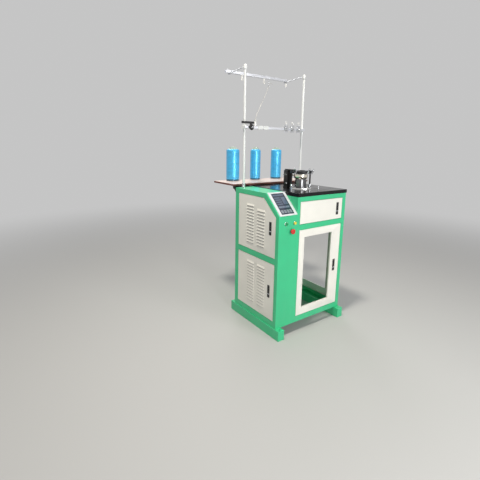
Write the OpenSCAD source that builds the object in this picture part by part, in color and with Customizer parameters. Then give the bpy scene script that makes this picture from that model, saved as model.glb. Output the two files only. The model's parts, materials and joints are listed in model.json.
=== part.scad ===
// Circular knitting machine in a sheet metal cabinet, with a yarn creel behind it.
// X runs along the front, Y to the rear, Z up. The origin is on the floor under the cabinet's centre.

/* [Cabinet] */
// Width of the cabinet
body_w = 715; // [700:1:760]
// Depth of the cabinet
body_d = 555; // [550:1:600]
// Height of the cabinet above its base rails
body_h = 1000; // [990:1:1060]
// Thickness of the sheet metal
sheet = 2; // [1.5:0.1:2.2]
// Depth of the folds round the door openings
fold_d = 22; // [20:1:26]
// Width of the control section
control_w = 178; // [176:1:190]
// Height of the control section's top above the main section
hood_up = 24; // [22:1:27]
// Distance that the sloped panel runs back
slope_run = 157; // [150:1:165]
// Rise of the sloped panel
slope_rise = 154; // [150:1:158]
// Thickness of the table top
table_t = 28; // [25:1:32]
// Overhang of the table top at the front and the right
table_over = 5; // [0:1:8]

/* [Base rails] */
// Width of a base rail
rail_w = 60; // [50:1:70]
// Height of a base rail
rail_h = 80; // [60:1:100]
// Length of a rail beyond the cabinet at each end
rail_over = 45; // [30:1:60]
// Wall of a base rail
rail_wall = 3; // [2:0.5:4]
// Distance that a rail stands out at the side
rail_out = 8; // [0:1:12]
// Diameter of the anchor holes in the rails
anchor_d = 11; // [9:1:14]

/* [Doors] */
// Green frame between the control section and the front doors
front_left_edge = 27; // [24:1:30]
// Green frame right of the front doors
front_right_edge = 36; // [30:1:40]
// Green frame above the front doors
front_top_edge = 35; // [30:1:40]
// Green frame below the doors
bottom_edge = 47; // [42:1:52]
// Height of the upper front opening
upper_open_h = 174; // [170:1:180]
// Green frame between the front doors
front_mid_edge = 42; // [40:1:46]
// Green frame in front of the side doors
side_front_edge = 34; // [32:1:38]
// Width of the side openings
side_open_w = 476; // [470:1:480]
// Height of the lower left opening
left_lower_h = 456; // [450:1:460]
// Green frame between the left doors
left_mid_edge = 45; // [42:1:50]
// Green frame above the upper left door
left_top_edge = 36; // [34:1:40]
// Run of the clipped corner of the upper left door
clip_run = 145; // [140:1:150]
// Height of the clipped corner of the upper left door
clip_rise = 129; // [125:1:135]
// Gap round a door
door_gap = 3; // [2.8:0.1:3.2]
// Depth of a door
door_d = 18; // [16:1:20]
// Hinge pin diameter
pin_d = 6; // [5:0.5:7]
// Hinge pin's distance from the door's edge
pin_in = 6.5; // [6:0.1:7]
// Hinge pin's depth behind the door's face
pin_deep = 5.5; // [5.5:0.1:6]
// Window's distance from the hinge edge
stile_hinge = 56; // [50:1:60]
// Window's distance from the latch edge
stile_latch = 105; // [100:1:110]
// Window's distance from the door's bottom
window_low = 62; // [58:1:70]
// Window's distance from the door's top
window_top = 58; // [54:1:66]

/* [Latches] */
// Width of a latch
latch_w = 26; // [25:1:30]
// Height of a latch
latch_h = 100; // [96:1:110]
// Latch's distance from the door's edge
latch_in = 57; // [55:1:60]
// Depth of the latch pocket
pocket_d = 15; // [14:0.5:18]
// Length of the latch's push button
latch_button_h = 22; // [20:1:26]

/* [Louvres] */
// Width of a louvre
louvre_w = 92; // [80:1:95]
// Height of a louvre
louvre_h = 16; // [15:1:18]
// Distance that a louvre stands out
louvre_out = 6; // [5:0.5:7]
// Distance between louvres
louvre_pitch = 24.6; // [24:0.1:25]

/* [Controls] */
// Width of the operator panel
screen_w = 170; // [160:1:171]
// Length of the operator panel
screen_l = 216; // [205:1:218]
// Diameter of a push button's collar
collar_d = 29; // [28:1:32]
// Diameter of a push button
button_d = 22; // [20:1:24]
// Diameter of the mushroom button
mushroom_d = 40; // [36:1:44]

/* [Knitting head] */
// Distance of the head from the cabinet's left side
head_x = 430; // [425:1:440]
// Distance of the head from the cabinet's front
head_y = 240; // [235:1:250]
// Diameter of the base flange
flange_d = 176; // [174:1:190]
// Diameter of the turning drum
drum_d = 94; // [90:1:96]
// Diameter of the slotted needle bed
bed_d = 84; // [82:1:85]
// Bore of the needle cylinder
bore_d = 60; // [50:1:62]
// Number of needles
needles_n = 32; // [24:1:36]
// Outer diameter of the feeder ring
ring_d = 180; // [174:1:184]
// Inner diameter of the feeder ring
ring_bore = 110; // [104:1:116]
// Height of the feeder ring above the table
ring_z = 124; // [122:1:130]
// Outer diameter of the cam ring
cam_d = 112; // [106:1:114]

/* [Drive] */
// Distance of the drive shelf below the cabinet's top
shelf_drop = 220; // [216:1:222]
// Pitch radius of the pulley on the needle cylinder
pulley_r = 65; // [64:0.5:66]
// Pitch radius of the motor pulley
motor_pulley_r = 20; // [19:0.5:21]
// Distance of the motor from the cabinet's left side
motor_x = 600; // [595:1:610]
// Distance of the motor from the cabinet's front
motor_y = 300; // [290:1:310]
// Radius of a take-down roller
roller_r = 15; // [14:0.5:15]
// Radius of the wheel that drives the rollers
wheel_r = 20; // [19:0.5:21]
// Radius at which that wheel runs on its track
track_r = 90; // [88:1:92]

/* [Uprights] */
// Distance of the left upright from the cabinet's left side
pole_left = 60; // [55:1:70]
// Distance of the right upright from the cabinet's right side
pole_right = 14; // [10:1:18]
// Distance of the uprights from the cabinet's rear
pole_rear = 25; // [24:1:30]
// Diameter of an upright
pole_d = 20; // [16:1:22]
// Height of the uprights above the table
pole_h = 948; // [900:1:980]
// Height of the tension bar above the table
tension_z = 485; // [460:1:500]
// Side of the square tension bar
tension_side = 18; // [16:1:20]
// Length of the rods that carry the guide bar
rod_l = 322; // [300:1:340]
// Angle at which these rods point to the right
rod_angle = 9; // [8:0.5:12]
// Length of the guide bar
guide_l = 688; // [680:1:700]

/* [Creel] */
// Length of the creel board
board_l = 872; // [860:1:900]
// Depth of the creel board
board_w = 330; // [320:1:340]
// Thickness of the creel board
board_t = 16; // [12:1:20]
// Distance of the creel board behind the cabinet
board_back = 45; // [40:1:50]
// Height of the board's top above the table
board_up = 18; // [16:1:24]
// Height of a spool
spool_h = 304; // [280:1:310]
// Diameter of the spindles
spindle_d = 14; // [10:1:16]
// Diameter of the spools' cores at the bore
core_d = 15; // [14.8:0.1:17]

/* [Hidden] */
$fn = 48;

eps = 0.01;
run = 0.05;
fit_gap = 0.3;
green = [0.30, 0.85, 0.62];
cream = [0.84, 0.81, 0.74];
black = [0.1, 0.1, 0.11];
steel = [0.75, 0.76, 0.78];
blue = [0.25, 0.68, 0.9];

hood_z = body_h + hood_up;
slope_z = hood_z - slope_rise;
slope_l = sqrt(pow(slope_run, 2) + pow(slope_rise, 2));
slope_a = atan2(slope_rise, slope_run);
table_z = body_h + table_t;

front_open_x = control_w + front_left_edge;
front_open_w = body_w - front_right_edge - front_open_x;
upper_open_z = body_h - front_top_edge - upper_open_h;
lower_open_h = upper_open_z - front_mid_edge - bottom_edge;
left_upper_z = bottom_edge + left_lower_h + left_mid_edge;
left_upper_h = hood_z - left_top_edge - left_upper_z;
side_rear = side_front_edge + side_open_w;

pin_reach = 4;
block_h = 12;
pocket_wall = 2;
rim = 1.5;
lever_t = 6.5;
lever_y = 3;
pivot_r = 4.4;
lever_pin_d = 3;
lever_w = latch_w - 2 * pocket_wall - 2 - 2 * fit_gap;
pocket_w = latch_w - 2 * pocket_wall - 2;
pocket_h = latch_h - 2 * pocket_wall - 2;
lever_pin_l = pocket_w + 2 * pocket_wall - 2 * fit_gap;
pivot_z = pocket_h / 2 - 5;
push_z = -pocket_h / 2 + fit_gap;
lever_low = push_z + latch_button_h + fit_gap;
tail_h = 5;
claw_y = fold_d + 2;

button_top = slope_z - 58;
mushroom_drop = 59;
green_x = 69;
yellow_x = 152;
mushroom_x = 126;
buttons = [[green_x, button_top], [yellow_x, button_top], [mushroom_x, button_top - mushroom_drop]];
block_d = 42;
plate_y = 70;
plate_z = 130;
plate_w = body_d - 155;
plate_h = body_h - 310;

shelf_z = body_h - shelf_drop;
shelf_t = 5;
track_h = 3;
track_w = 20;
shelf_hole_r = 70;
thrust_gap = 0.3;
pulley_h = 25;
pulley_z = body_h - 50;
housing_z = pulley_z + pulley_h + thrust_gap;
housing_r = 56;
flange_h = 8;
drum_up = 70;
bed_up = 116;
needle_up = 124;
slot_w = 1.8;
slot_deep = 3.6;
needle_t = 1.2;
cam_z = 78;
cam_h = 36;
cam_clear = 0.4;
groove_deep = 3.2;
post_r = 76;
post_d = 13;
foot_d = 20;
foot_h = 25;
ring_h = 18;
column_side = 46;
column_x = -43;
column_y = 112;
column_arm = 10;
column_h = ring_z + ring_h + column_arm;

yoke_t = 6;
yoke_z = pulley_z - yoke_t;
cheek_y = 41;
cheek_w = 64;
nip = 0.4;
roller_x = roller_r + nip / 2;
roller_z = pulley_z - 62;
gear_n = 20;
gear_m = 2 * roller_x / gear_n;
gear_w = 8;
wheel_w = 12;
wheel_z = shelf_z + shelf_t + track_h + fit_gap + wheel_r;
case_w = 40;
case_d = 25;
belt_t = 2.5;
motor_side = 90;
motor_top = pulley_z - 25;
pulley_span = sqrt(pow(motor_x - head_x, 2) + pow(motor_y - head_y, 2));
pulley_angle = atan2(motor_y - head_y, motor_x - head_x);
belt_side = acos((pulley_r - motor_pulley_r) / pulley_span);

pole_y = body_d - pole_rear;
pole_x = [pole_left, body_w - pole_right];
foot_z = [hood_z, table_z];
cap_d = pole_d + 9;
socket_h = 36;
rod_d = 8;
rod_z = table_z + pole_h - 3;
rod_end = [rod_l * sin(rod_angle), rod_l * cos(rod_angle)];
guide_x = pole_x[0] + rod_end[0] - 38;
guide_d = 30;
clamp_w = 16;
guide_h = 22;
guide_y = pole_y + rod_end[1] - 8;
guide_z = rod_z + rod_d / 2 + 0.5;
bar_z = table_z + tension_z;
bar_y = pole_y - pole_d / 2 - tension_side / 2;
bar_x = pole_x[0] - 14;
bar_l = pole_x[1] - pole_x[0] + 28;
bar_top = bar_z + tension_side / 2;
unit_x = [479, 552, 628];

board_x = 8;
board_y = body_d + board_back;
board_z = table_z + board_up;
arm_side = 30;
arm_x = [150, 590];
arm_top = board_z - board_t;
leg_low = body_h - 260;
cross_from = [board_x + 10, arm_x[0] + arm_side, arm_x[1] + arm_side];
cross_to = [arm_x[0], arm_x[1], board_x + board_l - 10];
spool_y = board_y + board_w - 65;
spool_x = [for (i = [-1:1]) board_x + board_l / 2 - 14 + i * 260];
spool_r = [61, 50, 53];

// Moves from the cabinet's front left lower corner
module in_cabinet() {
    translate([-body_w / 2, -body_d / 2, rail_h]) children();
}

// Moves to the head's axis at a height above the base rails
module at_head(z) {
    in_cabinet() translate([head_x, head_y, z]) children();
}

// Turns an outline in X and Z into a plate that reaches from the front to the rear
module front_plate(depth) {
    translate([0, depth, 0]) rotate([90, 0, 0]) linear_extrude(depth) children();
}

// Turns an outline in Y and Z into a plate that reaches to the right
module side_plate(width) {
    rotate([90, 0, 90]) linear_extrude(width) children();
}

// Rectangle with its upper far corner clipped, grown by a margin
module clipped(w, h, run_x, rise, grow) {
    if (run_x == 0) {
        translate([-grow, -grow]) square([w + 2 * grow, h + 2 * grow]);
    } else {
        a = atan2(rise, run_x);
        polygon([[-grow, -grow], [w + grow, -grow],
            [w + grow, h - rise + grow * (1 - sin(a)) / cos(a)],
            [w - run_x + grow * (1 - cos(a)) / sin(a), h + grow], [-grow, h + grow]]);
    }
}

// Folded edge round an opening, from the outer face inwards
module opening_fold(w, h, run_x, rise) {
    front_plate(fold_d) difference() {
        clipped(w, h, run_x, rise, sheet);
        clipped(w, h, run_x, rise, 0);
    }
}

// Holes for a door's two hinge pins in the folds above and below it
module pin_holes(h) {
    for (z = [-sheet - 1, h - 1])
        translate([door_gap + pin_in, pin_deep, z])
            cylinder(d = pin_d + 2 * run, h = sheet + 2);
}

// Side frames' coordinates: the width runs from the rear to the front and the depth inwards
module on_left(z) {
    translate([0, side_rear, z]) rotate([0, 0, -90]) children();
}

module on_right(z) {
    translate([body_w, side_rear, z]) mirror([1, 0, 0]) rotate([0, 0, -90]) children();
}

module on_front(z) {
    translate([front_open_x, 0, z]) children();
}

module side_outline(top, sloped) {
    if (sloped)
        polygon([[sheet, 0], [body_d - sheet, 0], [body_d - sheet, top - sheet],
            [slope_run, top - sheet], [sheet, slope_z]]);
    else
        translate([sheet, 0]) square([body_d - 2 * sheet, top]);
}

module base_rails() {
    color(green) in_cabinet() for (x = [-rail_out, body_w + rail_out - rail_w])
        translate([x, -rail_over, -rail_h]) difference() {
            cube([rail_w, body_d + 2 * rail_over, rail_h]);
            translate([rail_wall, rail_wall, rail_wall])
                cube([rail_w - 2 * rail_wall, body_d + 2 * rail_over - 2 * rail_wall,
                    rail_h - 2 * rail_wall]);
            for (y = [rail_over / 2, body_d + 1.5 * rail_over])
                translate([rail_w / 2, y, -1]) cylinder(d = anchor_d, h = rail_h + 2);
        }
}

module front_frame() {
    color(green) in_cabinet() difference() {
        union() {
            front_plate(sheet) difference() {
                polygon([[0, 0], [body_w, 0], [body_w, body_h], [control_w, body_h],
                    [control_w, slope_z], [0, slope_z]]);
                translate([front_open_x, bottom_edge]) square([front_open_w, lower_open_h]);
                translate([front_open_x, upper_open_z]) square([front_open_w, upper_open_h]);
            }
            on_front(bottom_edge) opening_fold(front_open_w, lower_open_h, 0, 0);
            on_front(upper_open_z) opening_fold(front_open_w, upper_open_h, 0, 0);
        }
        on_front(bottom_edge) pin_holes(lower_open_h);
        on_front(upper_open_z) pin_holes(upper_open_h);
        for (b = buttons)
            translate([b[0], -1, b[1]]) rotate([-90, 0, 0]) cylinder(d = button_d + 2, h = sheet + 2);
    }
}

module left_frame() {
    color(green) in_cabinet() difference() {
        union() {
            side_plate(sheet) side_outline(hood_z, true);
            on_left(bottom_edge) opening_fold(side_open_w, left_lower_h, 0, 0);
            on_left(left_upper_z) opening_fold(side_open_w, left_upper_h, clip_run, clip_rise);
            translate([0, sheet, 0]) cube([25, body_d - 2 * sheet, sheet]);
        }
        on_left(bottom_edge) front_plate(3 * sheet) clipped(side_open_w, left_lower_h, 0, 0, 0);
        on_left(left_upper_z) front_plate(3 * sheet)
            clipped(side_open_w, left_upper_h, clip_run, clip_rise, 0);
        on_left(bottom_edge) pin_holes(left_lower_h);
        on_left(left_upper_z) pin_holes(left_upper_h);
    }
}

module right_frame() {
    color(green) in_cabinet() difference() {
        union() {
            translate([body_w - sheet, 0, 0]) side_plate(sheet) side_outline(body_h, false);
            on_right(bottom_edge) opening_fold(side_open_w, lower_open_h, 0, 0);
            translate([body_w - 25, sheet, 0]) cube([25, body_d - 2 * sheet, sheet]);
            translate([body_w - 25, sheet, body_h - sheet]) cube([25, body_d - 2 * sheet, sheet]);
        }
        on_right(bottom_edge) front_plate(3 * sheet) clipped(side_open_w, lower_open_h, 0, 0, 0);
        on_right(bottom_edge) pin_holes(lower_open_h);
    }
}

// Vent slots in rows
module vents(columns, rows, step_x, step_z) {
    for (i = [0:columns - 1], j = [0:rows - 1])
        translate([i * step_x, j * step_z]) square([40, 6]);
}

module rear_panel() {
    color(green) in_cabinet() translate([0, body_d - sheet, 0]) front_plate(sheet) difference() {
        polygon([[0, 0], [body_w, 0], [body_w, body_h], [control_w, body_h],
            [control_w, hood_z - sheet], [0, hood_z - sheet]]);
        for (z = [0.15, 0.64]) translate([control_w / 2 - 50, body_h * z]) vents(2, 6, 60, 20);
        translate([head_x - 110, body_h - 180]) vents(4, 5, 60, 20);
    }
}

module partition() {
    color(green) in_cabinet() difference() {
        translate([control_w, 0, 0]) side_plate(sheet) side_outline(body_h, false);
        for (z = [body_h * 0.2, body_h * 0.86])
            translate([control_w - 1, body_d - 115, z]) rotate([0, 90, 0]) cylinder(d = 40, h = sheet + 2);
    }
}

module control_hood() {
    color(green) in_cabinet() difference() {
        side_plate(control_w) polygon([[0, slope_z], [slope_run, hood_z], [body_d, hood_z],
            [body_d, hood_z - sheet], [slope_run, hood_z - sheet],
            [sheet, slope_z]]);
        on_slope() translate([0, slope_l / 2, -6]) linear_extrude(12)
            square([screen_w - 30, screen_l - 30], center = true);
    }
}

// Slope's coordinates: X across it from its middle, Y up along it, Z out of it
module on_slope() {
    translate([control_w / 2 + 4, 0, slope_z]) rotate([slope_a, 0, 0]) children();
}

module drive_shelf() {
    color(green) at_head(shelf_z) difference() {
        union() {
            translate([control_w + sheet - head_x, sheet - head_y, 0])
                cube([body_w - 2 * sheet - control_w, body_d - 2 * sheet, shelf_t]);
            cylinder(r = track_r + track_w / 2, h = shelf_t + track_h, $fn = 96);
        }
        translate([0, 0, shelf_t]) cylinder(r = track_r - track_w / 2, h = track_h + 1, $fn = 96);
        translate([0, 0, -1]) cylinder(r = shelf_hole_r, h = shelf_t + 2, $fn = 96);
    }
}

module table_top() {
    color(black) in_cabinet() difference() {
        translate([control_w, -table_over, body_h])
            cube([body_w - control_w + table_over, body_d + table_over, table_t]);
        translate([head_x, head_y, body_h - 1])
            cylinder(r = housing_r + 0.2, h = table_t + 2, $fn = 96);
    }
}

// Hexagon socket screw head on a face, its axis along Z
module screw_head(d, h) {
    difference() {
        cylinder(d = d, h = h, $fn = 24);
        translate([0, 0, h / 2]) cylinder(d = d * 0.5, h = h, $fn = 6);
    }
}

module screws() {
    color(steel) {
        for (a = [10, 100, 190, 280])
            at_head(table_z + flange_h) rotate([0, 0, a]) translate([flange_d / 2 - 16, 0, 0])
                screw_head(10, 6);
        in_cabinet() {
            translate([head_x + 71, head_y - 134, table_z]) cylinder(d = 8, h = 25);
            for (x = [20, body_w / 2, body_w - 20], z = [30, body_h / 2, body_h - 30])
                translate([x, body_d, z]) rotate([-90, 0, 0]) screw_head(10, 3);
        }
    }
}

module operator_panel() {
    color("white") in_cabinet() on_slope() translate([0, slope_l / 2, 0]) difference() {
        union() {
            translate([-screen_w / 2, -screen_l / 2, 0]) cube([screen_w, screen_l, 6]);
            translate([-screen_w / 2 + 16, -screen_l / 2 + 16, -34]) cube([screen_w - 32, screen_l - 32, 34]);
        }
        translate([-screen_w / 2 + 24, -screen_l / 2 + 12, 3]) cube([screen_w - 48, screen_l - 24, 4]);
    }
}

module panel_screen() {
    color([0.2, 0.22, 0.27]) in_cabinet() on_slope() translate([0, slope_l / 2, 3])
        translate([-screen_w / 2 + 24.2, -screen_l / 2 + 12.2, 0])
            cube([screen_w - 48.4, screen_l - 24.4, 2]);
}

// Puts what follows on a panel button's axis, with Z pointing out of the front
module at_button(i) {
    in_cabinet() translate([buttons[i][0], 0, buttons[i][1]]) rotate([90, 0, 0]) children();
}

module button_holders() {
    color(steel) for (i = [0:2]) at_button(i) difference() {
        union() {
            cylinder(d = collar_d, h = 5);
            translate([0, 0, -sheet]) cylinder(d = button_d + 2 - 2 * run, h = sheet);
            translate([-collar_d / 2, -19, -sheet - block_d]) cube([collar_d, 38, block_d]);
        }
        translate([0, 0, -sheet - 12]) cylinder(d = button_d - 3 + 2 * run, h = 30);
    }
}

// Flat push button with a raised rim
module flat_button(i) {
    at_button(i) difference() {
        union() {
            translate([0, 0, -7]) cylinder(d = button_d - 3, h = 16);
            translate([0, 0, 9]) cylinder(d1 = button_d, d2 = button_d - 1, h = 3);
        }
        translate([0, 0, 11]) cylinder(d = button_d - 6, h = 2);
    }
}

module start_button() {
    color("green") flat_button(0);
}

module reset_button() {
    color("yellow") flat_button(1);
}

module stop_button() {
    color("red") at_button(2) {
        translate([0, 0, -6]) cylinder(d = button_d - 3, h = 17);
        translate([0, 0, 11]) rotate_extrude()
            polygon([[0, 0], [mushroom_d / 2 - 4, 0], [mushroom_d / 2, 4], [mushroom_d / 2, 8],
                [mushroom_d / 2 - 2, 11], [mushroom_d / 4, 13], [0, 13.5]]);
    }
}

// Control plate's coordinates: depth from the partition, Y from the plate's front edge, Z from its foot
module control_block(depth, y, z, size) {
    translate([control_w - depth - size[0], plate_y + y, plate_z + z]) cube(size);
}

module control_plate() {
    color([0.8, 0.8, 0.8]) in_cabinet() difference() {
        union() {
            control_block(5, 0, 0, [3, plate_w, plate_h]);
            for (y = [20, plate_w - 20], z = [20, plate_h - 20])
                translate([control_w - 5, plate_y + y, plate_z + z]) rotate([0, 90, 0])
                    cylinder(d = 14, h = 5);
            control_block(8, 40, plate_h * 0.62, [60, 110, 190]);
            control_block(8, 200, plate_h * 0.68, [50, 100, 130]);
            for (i = [0:2]) control_block(8, 50 + i * 62, plate_h * 0.36, [70, 46, 78]);
            control_block(8, 40, plate_h * 0.19, [30, 300, 45]);
            for (z = [0.29, 0.54]) control_block(8, 20, plate_h * z, [40, plate_w - 40, 30]);
        }
        for (i = [0:20]) control_block(30, 48 + i * 14, plate_h * 0.19 + 14, [10, 6, 18]);
    }
}

module bearing_housing() {
    color(steel) at_head(0) difference() {
        union() {
            translate([0, 0, housing_z]) cylinder(r = housing_r, h = table_z - housing_z + 1, $fn = 96);
            translate([0, 0, table_z]) cylinder(d1 = flange_d, d2 = flange_d - 3, h = flange_h, $fn = 96);
        }
        translate([0, 0, housing_z - 1])
            cylinder(d = drum_d + 2 * run, h = table_z + flange_h - housing_z + 2, $fn = 96);
    }
}

module feeder_ring() {
    color(black) at_head(table_z) {
        difference() {
            translate([0, 0, ring_z]) cylinder(d = ring_d, h = ring_h, $fn = 96);
            translate([0, 0, ring_z - 1]) cylinder(d = ring_bore, h = ring_h + 2, $fn = 96);
            for (a = [0:30:330])
                rotate([0, 0, a + 15]) translate([ring_d / 2 - 12, 0, ring_z - 1])
                    cylinder(d = 5, h = ring_h + 2, $fn = 24);
        }
        for (a = [325, 55, 145]) rotate([0, 0, a]) translate([post_r, 0, flange_h]) {
            cylinder(d = foot_d, h = foot_h);
            cylinder(d = post_d, h = ring_z - flange_h);
        }
    }
}

module cam_ring() {
    color(steel) at_head(table_z + cam_z) difference() {
        union() {
            rotate_extrude($fn = 96) polygon([[bed_d / 2, 0], [cam_d / 2 - 9, 0], [cam_d / 2 - 5, 4],
                [cam_d / 2 - 2, 10], [cam_d / 2 - 0.5, 17], [cam_d / 2, 25], [cam_d / 2, cam_h],
                [bed_d / 2, cam_h]]);
            translate([column_x + 4, 0, 20])
                cube([20, column_y - column_side / 2, 12]);
        }
        translate([0, 0, -1]) cylinder(d = bed_d + 2 * cam_clear, h = cam_h + 2, $fn = 96);
        translate([0, 0, 8]) cylinder(d = bed_d + 2 * cam_clear + 2 * groove_deep, h = cam_h - 14, $fn = 96);
    }
}

module head_column() {
    y0 = column_y - column_side / 2;
    color(black) at_head(table_z) {
        difference() {
            union() {
                translate([column_x - column_side / 2, y0, 0])
                    cube([column_side, column_side, column_h - column_arm]);
                translate([column_x - column_side / 2 - 7, y0 + 2, 0])
                    cube([column_side + 14, column_side - 4, 10]);
                translate([column_x - 14, 49, column_h - column_arm])
                    cube([28, y0 + column_side - 49, column_arm]);
                translate([column_x, 49, column_h - column_arm]) cylinder(d = 28, h = column_arm);
            }
            translate([column_x, 49, column_h - column_arm - 1]) cylinder(d = 8, h = column_arm + 2);
        }
        translate([column_x - column_side / 2 - 26, column_y, 108]) rotate([0, 90, 0])
            cylinder(d = 6, h = 26);
        translate([column_x - column_side / 2 - 12, column_y - 12, 34]) rotate([0, 90, 0])
            cylinder(d = 14, h = 12);
    }
}

// Yarn feeders round the ring, each as its angle and its height above the ring's top
feeders = [[262, 0], [286, -8], [200, 0]];

// Feeder: clamp on the ring, knurled barrel that leans outwards, and tube to the needles
module yarn_feeder(up) {
    top = ring_z + ring_h;
    rim_r = ring_d / 2;
    translate([ring_bore / 2 + 8, -8, top]) cube([rim_r + 10 - ring_bore / 2 - 8, 16, 8]);
    translate([rim_r + 0.2, -8, top - 14 + up]) cube([9.8, 16, 22 - up]);
    translate([rim_r + 9, 0, top - 6 + up]) rotate([0, 24, 0]) {
        cylinder(d = 13, h = 30);
        translate([0, 0, 29]) cylinder(d = 5, h = 9);
    }
    translate([ring_bore / 2 - 4, 0, top + 4]) rotate([0, 90, 0]) cylinder(d = 6, h = 16);
    translate([bed_d / 2 - 2, 0, ring_z + 4]) rotate([0, 28, 0]) cylinder(d = 6, h = 26);
}

module yarn_feeders() {
    color(steel) at_head(table_z) for (f = feeders) rotate([0, 0, f[0]]) yarn_feeder(f[1]);
}

module needle_cylinder() {
    color(steel) at_head(0) difference() {
        union() {
            translate([0, 0, pulley_z]) cylinder(d = drum_d, h = table_z + drum_up - pulley_z, $fn = 96);
            translate([0, 0, table_z + flange_h + thrust_gap]) cylinder(d = drum_d + 10, h = 5, $fn = 96);
            translate([0, 0, table_z + drum_up]) cylinder(d = bed_d, h = bed_up - drum_up, $fn = 96);
        }
        translate([0, 0, pulley_z - 1])
            cylinder(d = bore_d, h = table_z + bed_up - pulley_z + 2, $fn = 96);
        for (i = [0:needles_n - 1]) rotate([0, 0, i * 360 / needles_n])
            translate([bed_d / 2 - slot_deep, -slot_w / 2, table_z + drum_up + 4])
                cube([slot_deep + 1, slot_w, bed_up - drum_up]);
    }
}

// Height of needle i above its lowest place, as its cam lifts it twice in a turn
function needle_lift(i) = 3 * (1 - cos(i * 720 / needles_n));

module needles() {
    color([0.85, 0.86, 0.88]) at_head(table_z) for (i = [0:needles_n - 1])
        rotate([0, 0, i * 360 / needles_n])
            translate([bed_d / 2 - slot_deep + 0.2, needle_t / 2, drum_up + 5 + needle_lift(i)])
                rotate([90, 0, 0]) linear_extrude(needle_t) difference() {
                    union() {
                        square([2.6, needle_up - drum_up - 11]);
                        translate([2, 16]) square([4.2, 3]);
                        translate([2.6, needle_up - drum_up - 13]) circle(d = 5.2, $fn = 12);
                    }
                    translate([2.8, needle_up - drum_up - 13]) circle(d = 2.6, $fn = 8);
                    translate([2.9, needle_up - drum_up - 16]) square([4, 3]);
                }
}

// Belt pulley with grooves round its rim
module toothed_disc(r, h, n) {
    linear_extrude(h) difference() {
        circle(r = r, $fn = 96);
        for (i = [0:n - 1]) rotate(i * 360 / n) translate([r, 0]) circle(r = 1.7, $fn = 16);
    }
}

module cylinder_pulley() {
    color([0.6, 0.6, 0.62]) at_head(pulley_z) difference() {
        toothed_disc(pulley_r, pulley_h, round(pulley_r * 0.8));
        translate([0, 0, -1]) cylinder(d = drum_d + 2 * run, h = pulley_h + 2, $fn = 96);
    }
}

module takedown_yoke() {
    color([0.3, 0.3, 0.32]) at_head(0) difference() {
        union() {
            translate([0, 0, yoke_z]) cylinder(r = pulley_r - 2, h = yoke_t, $fn = 96);
            for (y = [-cheek_y - yoke_t, cheek_y])
                translate([-cheek_w / 2, y, roller_z - 20]) cube([cheek_w, yoke_t, yoke_z - roller_z + 20]);
            translate([-case_w / 2, -cheek_y - yoke_t - case_d, wheel_z - 12])
                cube([case_w, case_d, roller_z - wheel_z + 30]);
        }
        translate([0, 0, yoke_z - 1]) cylinder(d = bore_d, h = yoke_t + 2, $fn = 96);
        for (x = [-roller_x, roller_x])
            translate([x, -cheek_y - yoke_t - 3, roller_z]) rotate([-90, 0, 0])
                cylinder(d = 10 + 2 * run, h = 2 * cheek_y + 2 * yoke_t + 4);
        translate([0, -cheek_y - yoke_t - case_d - 1, wheel_z]) rotate([-90, 0, 0])
            cylinder(d = 8 + 2 * run, h = 16);
    }
}

// Spur gear with straight flanks, its first tooth along X
module spur_gear(n, m, h) {
    pitch = n * m / 2;
    linear_extrude(h) union() {
        circle(r = pitch - 1.25 * m);
        for (i = [0:n - 1]) rotate(i * 360 / n)
            polygon([[pitch - 1.6 * m, -0.86 * m], [pitch + 0.8 * m, -0.3 * m],
                [pitch + 0.8 * m, 0.3 * m], [pitch - 1.6 * m, 0.86 * m]]);
    }
}

module roller(turn) {
    rotate([-90, 0, 0]) {
        translate([0, 0, -cheek_y + 1]) cylinder(r = roller_r, h = 2 * cheek_y - 2);
        translate([0, 0, -cheek_y - yoke_t - 2]) cylinder(d = 10, h = 2 * cheek_y + 2 * yoke_t + 4 + gear_w);
        translate([0, 0, cheek_y + yoke_t + 1]) rotate(turn) spur_gear(gear_n, gear_m, gear_w);
    }
}

module takedown_roller_a() {
    color(black) at_head(roller_z) translate([-roller_x, 0, 0]) roller(0);
}

module takedown_roller_b() {
    color(black) at_head(roller_z) translate([roller_x, 0, 0]) roller(180 / gear_n);
}

module takedown_wheel() {
    color(black) at_head(wheel_z) rotate([90, 0, 0]) {
        translate([0, 0, track_r - wheel_w / 2]) difference() {
            cylinder(r = wheel_r, h = wheel_w, $fn = 64);
            for (a = [0:90:270]) rotate([0, 0, a]) translate([wheel_r * 0.55, 0, -1])
                cylinder(d = 6, h = wheel_w + 2, $fn = 24);
        }
        translate([0, 0, cheek_y + yoke_t + case_d - 14])
            cylinder(d = 8, h = track_r + wheel_w / 2 + 3 - cheek_y - yoke_t - case_d + 14);
    }
}

// Puts what follows at the motor's axis
module at_motor(z) {
    in_cabinet() translate([motor_x, motor_y, z]) children();
}

// Square with round corners, centred
module round_square(side, r) {
    for (a = [0, 90]) rotate(a) square([side, side - 2 * r], center = true);
    for (x = [-1, 1], y = [-1, 1]) translate([x * (side / 2 - r), y * (side / 2 - r)]) circle(r = r);
}

module motor() {
    color([0.55, 0.56, 0.58]) at_motor(0) difference() {
        union() {
            translate([0, 0, shelf_z + shelf_t]) linear_extrude(6) round_square(motor_side + 20, 8);
            translate([0, 0, shelf_z + shelf_t + 6])
                cylinder(d = motor_side - 6, h = motor_top - 40 - shelf_z - shelf_t - 6, $fn = 96);
            translate([0, 0, motor_top - 40]) linear_extrude(40) round_square(motor_side, 8);
            for (a = [0:30:330]) rotate([0, 0, a])
                translate([motor_side / 2 - 6, -1.5, shelf_z + shelf_t + 20])
                    cube([7, 3, motor_top - 80 - shelf_z]);
            translate([-30, -motor_side / 2 - 22, motor_top - 105]) cube([60, 30, 50]);
        }
        translate([0, 0, motor_top - 30]) cylinder(d = 14 + 2 * run, h = 31);
        for (a = [45:90:315]) rotate([0, 0, a]) translate([motor_side * 0.62, 0, shelf_z])
            cylinder(d = 7, h = 20, $fn = 24);
    }
}

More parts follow.
